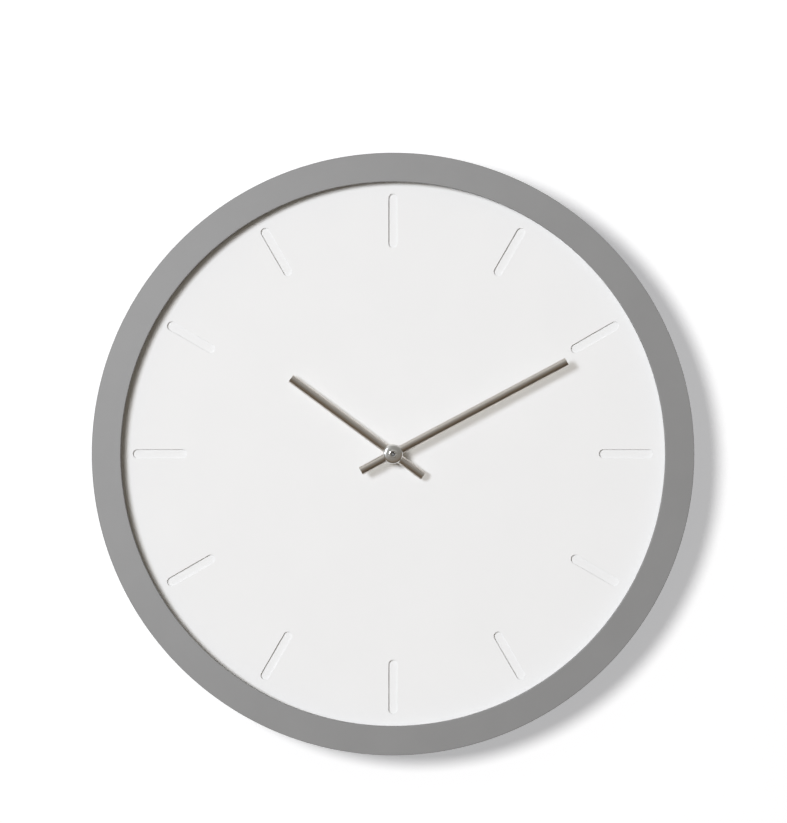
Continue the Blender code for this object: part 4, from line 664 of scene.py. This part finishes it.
def make_ring():
    """The grey ring with its hollow back, ribs and screw bosses."""
    shape = bmesh.new()
    edge = FACE_EDGE
    small = BACK_EDGE
    steps = SMALL_EDGE_STEPS
    seat_z = DIAL_FRONT_Z + DIAL_CLEARANCE
    step_z = seat_z + FRAME_WALL
    low_z = DIAL_BACK_Z + small
    inner_back = FRAME_INNER_RADIUS + FRAME_WALL
    lean = math.pi / 2 - FACE_SLOPE
    outer_z = face_z(FRAME_RADIUS - edge) - edge / math.cos(FACE_SLOPE)
    inner_z = face_z(FRAME_INNER_RADIUS + edge) - edge / math.cos(FACE_SLOPE)
    profile = [
        *arc((FRAME_RADIUS - edge, outer_z), edge, lean, 0, EDGE_STEPS),
        *arc((FRAME_RADIUS - small, small), small, 0, -math.pi / 2, steps),
        *arc((CHANNEL_OUTER_RADIUS + small, small), small, -math.pi / 2, -math.pi, steps),
        (CHANNEL_OUTER_RADIUS, face_z(CHANNEL_OUTER_RADIUS) - FRAME_WALL),
        (inner_back, face_z(inner_back) - FRAME_WALL),
        (inner_back, step_z),
        (CHANNEL_INNER_RADIUS, step_z),
        *arc((CHANNEL_INNER_RADIUS - small, low_z), small, 0, -math.pi / 2, steps),
        *arc((DIAL_POCKET_RADIUS + small, low_z), small, -math.pi / 2, -math.pi, steps),
        (DIAL_POCKET_RADIUS, seat_z),
        (FRAME_INNER_RADIUS, seat_z),
        *arc((FRAME_INNER_RADIUS + edge, inner_z), edge, math.pi, lean, EDGE_STEPS),
    ]
    turned(shape, profile, RING_SIDES)
    rib_inner = CHANNEL_INNER_RADIUS - FRAME_WALL / 2
    rib_outer = CHANNEL_OUTER_RADIUS + FRAME_WALL / 2
    rib_low = DIAL_BACK_Z + RIB_SET_BACK
    rib_high = face_z(rib_outer) - FRAME_WALL / 2
    middle = Matrix.Translation(((rib_inner + rib_outer) / 2, 0, (rib_high + rib_low) / 2))
    size = Matrix.Diagonal((rib_outer - rib_inner, RIB_THICKNESS, rib_high - rib_low, 1))
    for number in range(RIB_COUNT):
        spot = Matrix.Rotation(math.tau * number / RIB_COUNT, 4, "Z") @ middle @ size
        bmesh.ops.create_cube(shape, size=1, matrix=spot)
    boss_profile = [
        (SCREW_HOLE_RADIUS, DIAL_BACK_Z + SCREW_HOLE_DEPTH),
        (SCREW_HOLE_RADIUS, DIAL_BACK_Z + small / 2),
        (SCREW_HOLE_RADIUS + small / 2, DIAL_BACK_Z),
        *arc((BOSS_RADIUS - small, low_z), small, -math.pi / 2, 0, steps),
        (BOSS_RADIUS, rib_high),
        (SCREW_HOLE_RADIUS, rib_high),
    ]
    for number in range(CLIP_COUNT):
        x, y = polar(SCREW_CENTRE_RADIUS, clip_angle(number))
        turned(shape, boss_profile, SMALL_SIDES, Matrix.Translation((x, y, 0)))
    add_piece("ring_shell", finished_mesh("ring_shell", shape), "clock", "grey_paint", "frame_ring")


def make_dial():
    """The white dial with twelve recessed batons."""
    middle = BATON_OUTER_RADIUS - BATON_LENGTH / 2
    outlines = [circle(DIAL_RADIUS, RING_SIDES), circle(DIAL_HOLE_RADIUS, HOLE_SIDES)]
    for number in range(BATON_COUNT):
        angle = math.tau * number / BATON_COUNT
        outlines.append(stadium(middle, BATON_LENGTH, BATON_WIDTH, angle, BATON_END_STEPS))
    shape = drawn(outlines, BATON_FLOOR_Z, DIAL_FRONT_Z, BATON_EDGE)
    add_part(shape, drawn(outlines[:2], DIAL_BACK_Z, BATON_FLOOR_Z, BATON_EDGE))
    add_piece("dial_face", finished_mesh("dial_face", shape), "clock", "dial_white", "dial_plate")


def make_rod(name, reach, tail, angle, height, body, node):
    """A round hand, turned about its own length, with softened square ends."""
    profile = [
        (0, reach),
        *arc((ROD_RADIUS - ROD_EDGE, reach - ROD_EDGE), ROD_EDGE, math.pi / 2, 0, ROD_EDGE_STEPS),
        *arc((ROD_RADIUS - ROD_EDGE, ROD_EDGE - tail), ROD_EDGE, 0, -math.pi / 2, ROD_EDGE_STEPS),
        (0, -tail),
    ]
    place = CLOCK @ Matrix.Translation((0, 0, height)) @ Matrix.Rotation(angle, 4, "Z")
    lay_down = Matrix.Rotation(math.pi / 2, 4, "Y")
    return add_piece(name, turned_mesh(name, profile), body, "satin_nickel", node, place @ lay_down)


def make_hub():
    """The polished cap over the hands, its nut, and the disc under the hour hand."""
    small = HUB_SMALL_EDGE
    steps = SMALL_EDGE_STEPS
    hole = THREAD_RADIUS + SEAT_GAP
    edge_radius = HUB_RADIUS - HUB_EDGE * (1 - math.sin(HUB_SLOPE))
    span = edge_radius - HUB_FLAT_RADIUS
    drop = math.tan(HUB_SLOPE) * span / 2
    edge_centre = (HUB_RADIUS - HUB_EDGE, HUB_TOP_Z - drop - HUB_EDGE * math.cos(HUB_SLOPE))
    dome = []
    for step in range(HUB_DOME_STEPS):
        share = step / HUB_DOME_STEPS
        dome.append((HUB_FLAT_RADIUS + span * share, HUB_TOP_Z - drop * share ** 2))
    profile = [
        (hole, HUB_TOP_Z),
        *dome,
        *arc(edge_centre, HUB_EDGE, math.pi / 2 - HUB_SLOPE, 0, HUB_EDGE_STEPS),
        *arc((HUB_RADIUS - small, HUB_LOW_Z + small), small, 0, -math.pi / 2, steps),
        (hole, HUB_LOW_Z),
    ]
    disc = add_piece("hub_disc", turned_mesh("hub_disc", profile), "minute", "chrome", "hub_cap")
    profile = [
        *arc((NUT_HOLE_RADIUS + small, NUT_TOP_Z - small), small, math.pi, math.pi / 2, steps),
        *arc((NUT_RADIUS - NUT_EDGE, NUT_TOP_Z - NUT_EDGE), NUT_EDGE, math.pi / 2, 0, EDGE_STEPS),
        *arc((NUT_RADIUS - small, NUT_LOW_Z + small), small, 0, -math.pi / 2, steps),
        (NUT_HOLE_RADIUS, NUT_LOW_Z),
    ]
    nut = add_piece("hub_nut", turned_mesh("hub_nut", profile), "minute", "chrome", "cap_nut")
    hole = PIPE_RADIUS + SEAT_GAP
    profile = [
        (hole, COLLET_HIGH_Z),
        *arc((COLLET_RADIUS - small, COLLET_HIGH_Z - small), small, math.pi / 2, 0, steps),
        *arc((COLLET_RADIUS - small, COLLET_LOW_Z + small), small, 0, -math.pi / 2, steps),
        (hole, COLLET_LOW_Z),
    ]
    collet = add_piece("hour_disc", turned_mesh("hour_disc", profile), "hour", "chrome", "hour_collet")
    return disc, nut, collet


def screw_blank(tip_z, head_z):
    """A pan-head screw without its recess, its head towards the wall."""
    seat = head_z + SCREW_HEAD_HEIGHT
    rim = SCREW_HEAD_HEIGHT * SCREW_RIM_SHARE
    dome = SCREW_HEAD_HEIGHT - rim
    profile = [
        (0, tip_z),
        (SCREW_SHANK_RADIUS, tip_z - SCREW_SHANK_RADIUS / 2),
        (SCREW_SHANK_RADIUS, seat),
        (SCREW_HEAD_RADIUS, seat),
    ]
    for step in range(SCREW_DOME_STEPS):
        angle = math.pi / 2 * (1 - step / SCREW_DOME_STEPS)
        radius = SCREW_HEAD_RADIUS * math.sin(angle) ** SCREW_DOME_POWER
        profile.append((radius, seat - rim - dome * math.cos(angle)))
    profile.append((0, head_z))
    shape = bmesh.new()
    turned(shape, profile, SMALL_SIDES)
    bmesh.ops.recalc_face_normals(shape, faces=shape.faces)
    return plain_mesh("screw_blank", shape)


def cross_cutter(head_z, turn):
    """One bar of the cross, which narrows inwards."""
    shape = bmesh.new()
    size = Matrix.Diagonal((CROSS_LENGTH, CROSS_WIDTH, 2 * CROSS_DEPTH, 1))
    place = Matrix.Translation((0, 0, head_z)) @ Matrix.Rotation(turn, 4, "Z")
    bmesh.ops.create_cube(shape, size=1, matrix=place @ size)
    for vert in shape.verts:
        if vert.co.z > head_z:
            vert.co.x *= CROSS_TAPER
            vert.co.y *= CROSS_TAPER
    return plain_mesh("cross_cutter", shape)


def make_screws():
    """Four pan-head screws with cross recesses, which hold the dial's clips."""
    low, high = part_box("clip_screw_1")
    tip_z, head_z = -low.y, -high.y
    cutters = [cross_cutter(head_z, turn) for turn in (0, math.pi / 2)]
    cut = cut_mesh(screw_blank(tip_z, head_z), cutters)
    for number in range(CLIP_COUNT):
        shape = bmesh.new()
        shape.from_mesh(cut)
        mesh = finished_mesh(f"screw_{number + 1}", shape)
        across, up = polar(SCREW_CENTRE_RADIUS, clip_angle(number))
        turn = Matrix.Rotation(FIRST_SCREW_TURN + NEXT_SCREW_TURN * number, 4, "Z")
        spot = CLOCK @ Matrix.Translation((across, up, 0)) @ turn
        add_piece(f"screw_{number + 1}", mesh, "clock", "steel", f"clip_screw_{number + 1}", spot)


def make_battery():
    """A plain round cell: a shrunk sleeve over a steel can with its plus cap and its flat minus end."""
    low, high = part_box("battery_cell")
    middle = (low + high) / 2
    minus_end = Matrix.Translation((low.x, middle.z - CENTRE_HEIGHT, -middle.y))
    spot = CLOCK @ minus_end @ Matrix.Rotation(math.pi / 2, 4, "Y")
    edge = BATTERY_EDGE
    inner = BATTERY_RADIUS - SLEEVE_LAP
    profile = [
        (inner, BATTERY_SHOULDER),
        *arc((BATTERY_RADIUS - edge, BATTERY_SHOULDER - edge), edge, math.pi / 2, 0, EDGE_STEPS),
        *arc((BATTERY_RADIUS - edge, edge), edge, 0, -math.pi / 2, EDGE_STEPS),
        (inner, 0),
        (inner, SLEEVE_THICKNESS),
        (inner, BATTERY_SHOULDER - SLEEVE_THICKNESS),
    ]
    mesh = turned_mesh("battery_sleeve", profile)
    add_piece("battery_sleeve", mesh, "battery", "battery_sleeve", "battery_cell", spot)
    can = inner + SLEEVE_OVERLAP
    nub_centre = (NUB_RADIUS - NUB_EDGE, BATTERY_LENGTH - NUB_EDGE)
    foot_z = BATTERY_SHOULDER - NUB_FOOT_DEPTH
    can_high = BATTERY_SHOULDER - CAN_END_DEPTH
    profile = [
        (0, BATTERY_LENGTH),
        *arc(nub_centre, NUB_EDGE, math.pi / 2, 0, NUB_EDGE_STEPS),
        (NUB_RADIUS, foot_z),
        (NUB_RADIUS + NUB_FOOT[0], foot_z),
        (NUB_RADIUS + NUB_FOOT[1], can_high),
        (can, can_high),
        (can, CAN_END_DEPTH),
        (can - MINUS_PLATE[0], CAN_END_DEPTH),
        (can - MINUS_PLATE[1], MINUS_PLATE_DEPTH),
        (0, MINUS_PLATE_DEPTH),
    ]
    add_piece("battery_can", turned_mesh("battery_can", profile), "battery", "steel", "battery_cell", spot)


def make_knob():
    """The fluted setting knob, dished on the side that faces the wall."""
    low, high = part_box("setting_knob")
    middle = (low + high) / 2
    height = high.y - low.y
    points = KNOB_FLUTES * KNOB_FLUTE_STEPS
    outline = []
    for step in range(points):
        angle = math.tau * step / points
        dip = (0.5 - 0.5 * math.cos(KNOB_FLUTES * angle)) ** KNOB_FLUTE_POWER
        outline.append(polar(KNOB_RADIUS - KNOB_FLUTE_DEPTH * dip, angle))
    hole = circle(KNOB_HOLE_RADIUS, SMALL_SIDES)
    dish = circle(KNOB_DISH_RADIUS, ROUND_SIDES)
    hub = circle(KNOB_HOLE_RADIUS + KNOB_HUB_WALL, SMALL_SIDES)
    dish_z = KNOB_DISH_DEPTH + KNOB_OVERLAP
    shape = drawn([outline, hole], KNOB_DISH_DEPTH, height, KNOB_EDGE)
    add_part(shape, drawn([outline, dish], 0, dish_z, KNOB_EDGE))
    add_part(shape, drawn([hub, hole], KNOB_HUB_LOW, dish_z, KNOB_HUB_EDGE))
    spot = CLOCK @ Matrix.Translation((middle.x, middle.z - CENTRE_HEIGHT, -high.y))
    mesh = finished_mesh("knob_piece", shape)
    add_piece("knob_piece", mesh, "setting", "black_plastic", "setting_knob", spot)


def make_marks():
    """Raised marks on the movement's cover: a plus, a minus, and an arrow round the knob."""
    low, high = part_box("movement_cover")
    knob_low, knob_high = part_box("setting_knob")
    knob = (knob_low + knob_high) / 2
    arm, tip = MARK_HALF_WIDTH, MARK_HALF_LENGTH
    plus = [(arm, arm), (arm, tip), (-arm, tip), (-arm, arm), (-tip, arm), (-tip, -arm)]
    plus += [(-x, -y) for x, y in plus]
    minus = [(-tip, -arm), (tip, -arm), (tip, arm), (-tip, arm)]
    mark_y = low.z - CENTRE_HEIGHT + MARK_RISE
    outlines = [
        [(x + high.x - MARK_INSET, y + mark_y) for x, y in plus],
        [(x + low.x + MARK_INSET, y + mark_y) for x, y in minus],
    ]
    radius = KNOB_RADIUS + ARROW_GAP
    head = ARROW_HEAD_SHARE * arm
    arrow = [
        *arc((0, 0), radius + arm, ARROW_START, ARROW_END, ARROW_STEPS),
        polar(radius + head, ARROW_END),
        polar(radius, ARROW_END + ARROW_HEAD_ANGLE),
        polar(radius - head, ARROW_END),
        *arc((0, 0), radius - arm, ARROW_END, ARROW_START, ARROW_STEPS),
    ]
    outlines.append([(x + knob.x, y + knob.z - CENTRE_HEIGHT) for x, y in arrow])
    shape = drawn(outlines, -high.y - MARK_HEIGHT, -high.y + MARK_HEIGHT, MARK_EDGE)
    piece = linked("cover_marks", finished_mesh("cover_marks", shape))
    piece.matrix_world = CLOCK
    piece.data.materials.append(MARK_PLASTIC)
    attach(piece, "clock")


make_ring()
make_dial()
hour_rod = make_rod("hour_rod", HOUR_REACH, HOUR_TAIL, HOUR_ANGLE, HOUR_ROD_Z, "hour", "hour_hand")
minute_rod = make_rod("minute_rod", MINUTE_REACH, MINUTE_TAIL, MINUTE_ANGLE, MINUTE_ROD_Z, "minute", "minute_hand")
hub = make_hub()
for node_name, edge_width in SOFTENED_NODES:
    softened(node_name, edge_width, "clock")
for node_name, body_name in SMOOTHED_NODES:
    smoothed(node_name, body_name)
make_screws()
make_battery()
make_knob()
make_marks()


def wall_material():
    """White in front, and clear from behind."""
    material, tree, output = blank_material("wall_white")
    plain = new_node(tree, "ShaderNodeBsdfDiffuse", {"Color": (*WALL_COLOUR, 1)})
    glow = new_node(tree, "ShaderNodeEmission", {"Color": (*WALL_GLOW_COLOUR, 1), "Strength": WALL_GLOW})
    front = new_node(tree, "ShaderNodeAddShader", {0: plain.outputs["BSDF"], 1: glow.outputs["Emission"]})
    clear = new_node(tree, "ShaderNodeBsdfTransparent")
    behind = new_node(tree, "ShaderNodeNewGeometry").outputs["Backfacing"]
    sides = {0: behind, 1: front.outputs["Shader"], 2: clear.outputs["BSDF"]}
    both = new_node(tree, "ShaderNodeMixShader", sides)
    tree.links.new(both.outputs["Shader"], output.inputs["Surface"])
    return material


def make_wall():
    """The white wall behind the clock. It shows from the front alone and keeps the clock's shadow."""
    half = WALL_HALF_WIDTH
    shape = bmesh.new()
    corners = [(-half, WALL_Y, -half), (half, WALL_Y, -half), (half, WALL_Y, half), (-half, WALL_Y, half)]
    shape.faces.new([shape.verts.new(corner) for corner in corners])
    mesh = plain_mesh("wall", shape)
    mesh.materials.append(wall_material())
    wall = linked("wall", mesh)
    wall.visible_diffuse = False
    wall.visible_glossy = False
    wall.visible_transmission = False
    wall.visible_shadow = False
    return wall


def make_world():
    """Plain light from all round, while the camera and the rays that mirror or pass through see white."""
    world = bpy.data.worlds.new("studio")
    bpy.context.scene.world = world
    world.use_nodes = True
    tree = world.node_tree
    tree.nodes.clear()
    path = new_node(tree, "ShaderNodeLightPath").outputs
    seen = computed(tree, "MAXIMUM", path["Is Camera Ray"], path["Is Glossy Ray"])
    shown = computed(tree, "MAXIMUM", seen, path["Is Transmission Ray"])
    colour = blended(tree, shown, FILL_COLOUR, WHITE)
    background = new_node(tree, "ShaderNodeBackground", {"Color": colour, "Strength": 1.0})
    output = new_node(tree, "ShaderNodeOutputWorld")
    tree.links.new(background.outputs["Background"], output.inputs["Surface"])


def room_material():
    """A glow that runs from dim to light across the room, and turns cooler behind the clock."""
    material, tree, output = blank_material("room_glow")
    place = new_node(tree, "ShaderNodeTexCoord").outputs["Object"]
    across, up = polar(1 / ROOM_RADIUS, ROOM_UP)
    slope = new_node(tree, "ShaderNodeVectorMath", {0: place, 1: (across, 0, up)}, operation="DOT_PRODUCT")
    ramp = new_node(tree, "ShaderNodeValToRGB", {"Fac": ranged(tree, slope.outputs["Value"], 0, 1, -1, 1)})
    stops = ramp.color_ramp.elements
    while len(stops) < len(ROOM_SHADES):
        stops.new(1)
    for stop, (position, shade) in zip(stops, ROOM_SHADES):
        stop.position = position
        stop.color = (*shade, 1)
    rear = ranged(tree, along(tree, place, "Y"), 0, REAR_SHARE, *REAR_DEPTHS)
    colour = blended(tree, rear, ramp.outputs["Color"], REAR_SHADE)
    glow = new_node(tree, "ShaderNodeEmission", {"Color": colour, "Strength": 1.0})
    tree.links.new(glow.outputs["Emission"], output.inputs["Surface"])
    return material


def make_room():
    """The studio round the clock, dim in front and lighter behind, which only metal and gloss mirror."""
    shape = bmesh.new()
    bmesh.ops.create_uvsphere(shape, u_segments=ROOM_SIDES, v_segments=ROOM_SIDES // 2, radius=ROOM_RADIUS)
    mesh = plain_mesh("room", shape)
    mesh.materials.append(room_material())
    room = linked("room", mesh)
    room.visible_camera = False
    room.visible_diffuse = False
    room.visible_transmission = False
    room.visible_shadow = False


def make_lamp(name, spot, size, level, colour):
    """A round soft lamp aimed at the clock; level is the brightness it gives a white face turned to it."""
    data = bpy.data.lights.new(name, "AREA")
    data.shape = "DISK"
    data.size = size
    data.color = colour
    reach = spot - CENTRE
    data.energy = level * math.pi ** 2 * reach.length_squared
    lamp = linked(name, data)
    lamp.location = spot
    lamp.rotation_mode = "QUATERNION"
    lamp.rotation_quaternion = reach.to_track_quat("Z", "Y")
    return lamp


def make_front_lamp(name, tilt, direction, distance, size, level, colour):
    """A lamp in front of the clock, tilted off its axis; level is what it gives a face square to the axis."""
    across, up = polar(math.sin(tilt), direction)
    spot = CENTRE + Vector((across, -math.cos(tilt), up)) * distance
    return make_lamp(name, spot, size, level / math.cos(tilt), colour)


def left_out(name, pieces):
    """A collection that leaves some pieces out of what a lamp lights or is blocked by."""
    collection = bpy.data.collections.new(name)
    for piece in pieces:
        collection.objects.link(piece)
    for entry in collection.collection_objects:
        entry.light_linking.link_state = "EXCLUDE"
    return collection


def make_lamps(rods, hub_pieces, wall):
    """Key lamp, soft box and the wall's own lamp at the upper left, and two lamps behind the clock."""
    key = make_front_lamp("key_lamp", KEY_TILT, KEY_DIRECTION, KEY_DISTANCE, KEY_SIZE, KEY_LEVEL, KEY_COLOUR)
    soft = make_front_lamp(
        "soft_box", SOFT_TILT, SOFT_DIRECTION, SOFT_DISTANCE, SOFT_SIZE, SOFT_LEVEL, SOFT_COLOUR)
    key.light_linking.receiver_collection = left_out("out_of_the_key", (*rods, wall))
    soft.light_linking.receiver_collection = left_out("out_of_the_soft_box", (*rods, *hub_pieces, wall))
    soft.light_linking.blocker_collection = left_out("hands_without_soft_shadow", rods)
    wall_lamp = make_front_lamp(
        "wall_lamp", WALL_TILT, WALL_DIRECTION, WALL_DISTANCE, WALL_LAMP_SIZE, WALL_LEVEL, WHITE)
    wall_alone = bpy.data.collections.new("wall_alone")
    wall_alone.objects.link(wall)
    wall_lamp.light_linking.receiver_collection = wall_alone
    for name, offset, level in REAR_LAMPS:
        make_lamp(name, CENTRE + Vector(offset), REAR_LAMP_SIZE, level, WHITE)


def make_camera():
    """A distant camera square to the dial, placed so that the clock lies as in the photograph."""
    data = bpy.data.cameras.new("camera")
    data.sensor_width = SENSOR_WIDTH
    data.lens = data.sensor_width * CAMERA_DISTANCE / (IMAGE_HEIGHT * METRES_PER_PIXEL)
    data.clip_end = CAMERA_RANGE
    camera = linked("camera", data)
    right = (IMAGE_WIDTH / 2 - CLOCK_IN_IMAGE[0]) * METRES_PER_PIXEL
    up = (CLOCK_IN_IMAGE[1] - IMAGE_HEIGHT / 2) * METRES_PER_PIXEL
    camera.location = (right, -FRONT_Z - CAMERA_DISTANCE, CENTRE_HEIGHT + up)
    camera.rotation_euler = (math.pi / 2, 0, 0)
    bpy.context.scene.camera = camera


room_wall = make_wall()
make_world()
make_room()
make_lamps((hour_rod, minute_rod), hub, room_wall)
make_camera()
bpy.context.scene.view_settings.view_transform = "Standard"
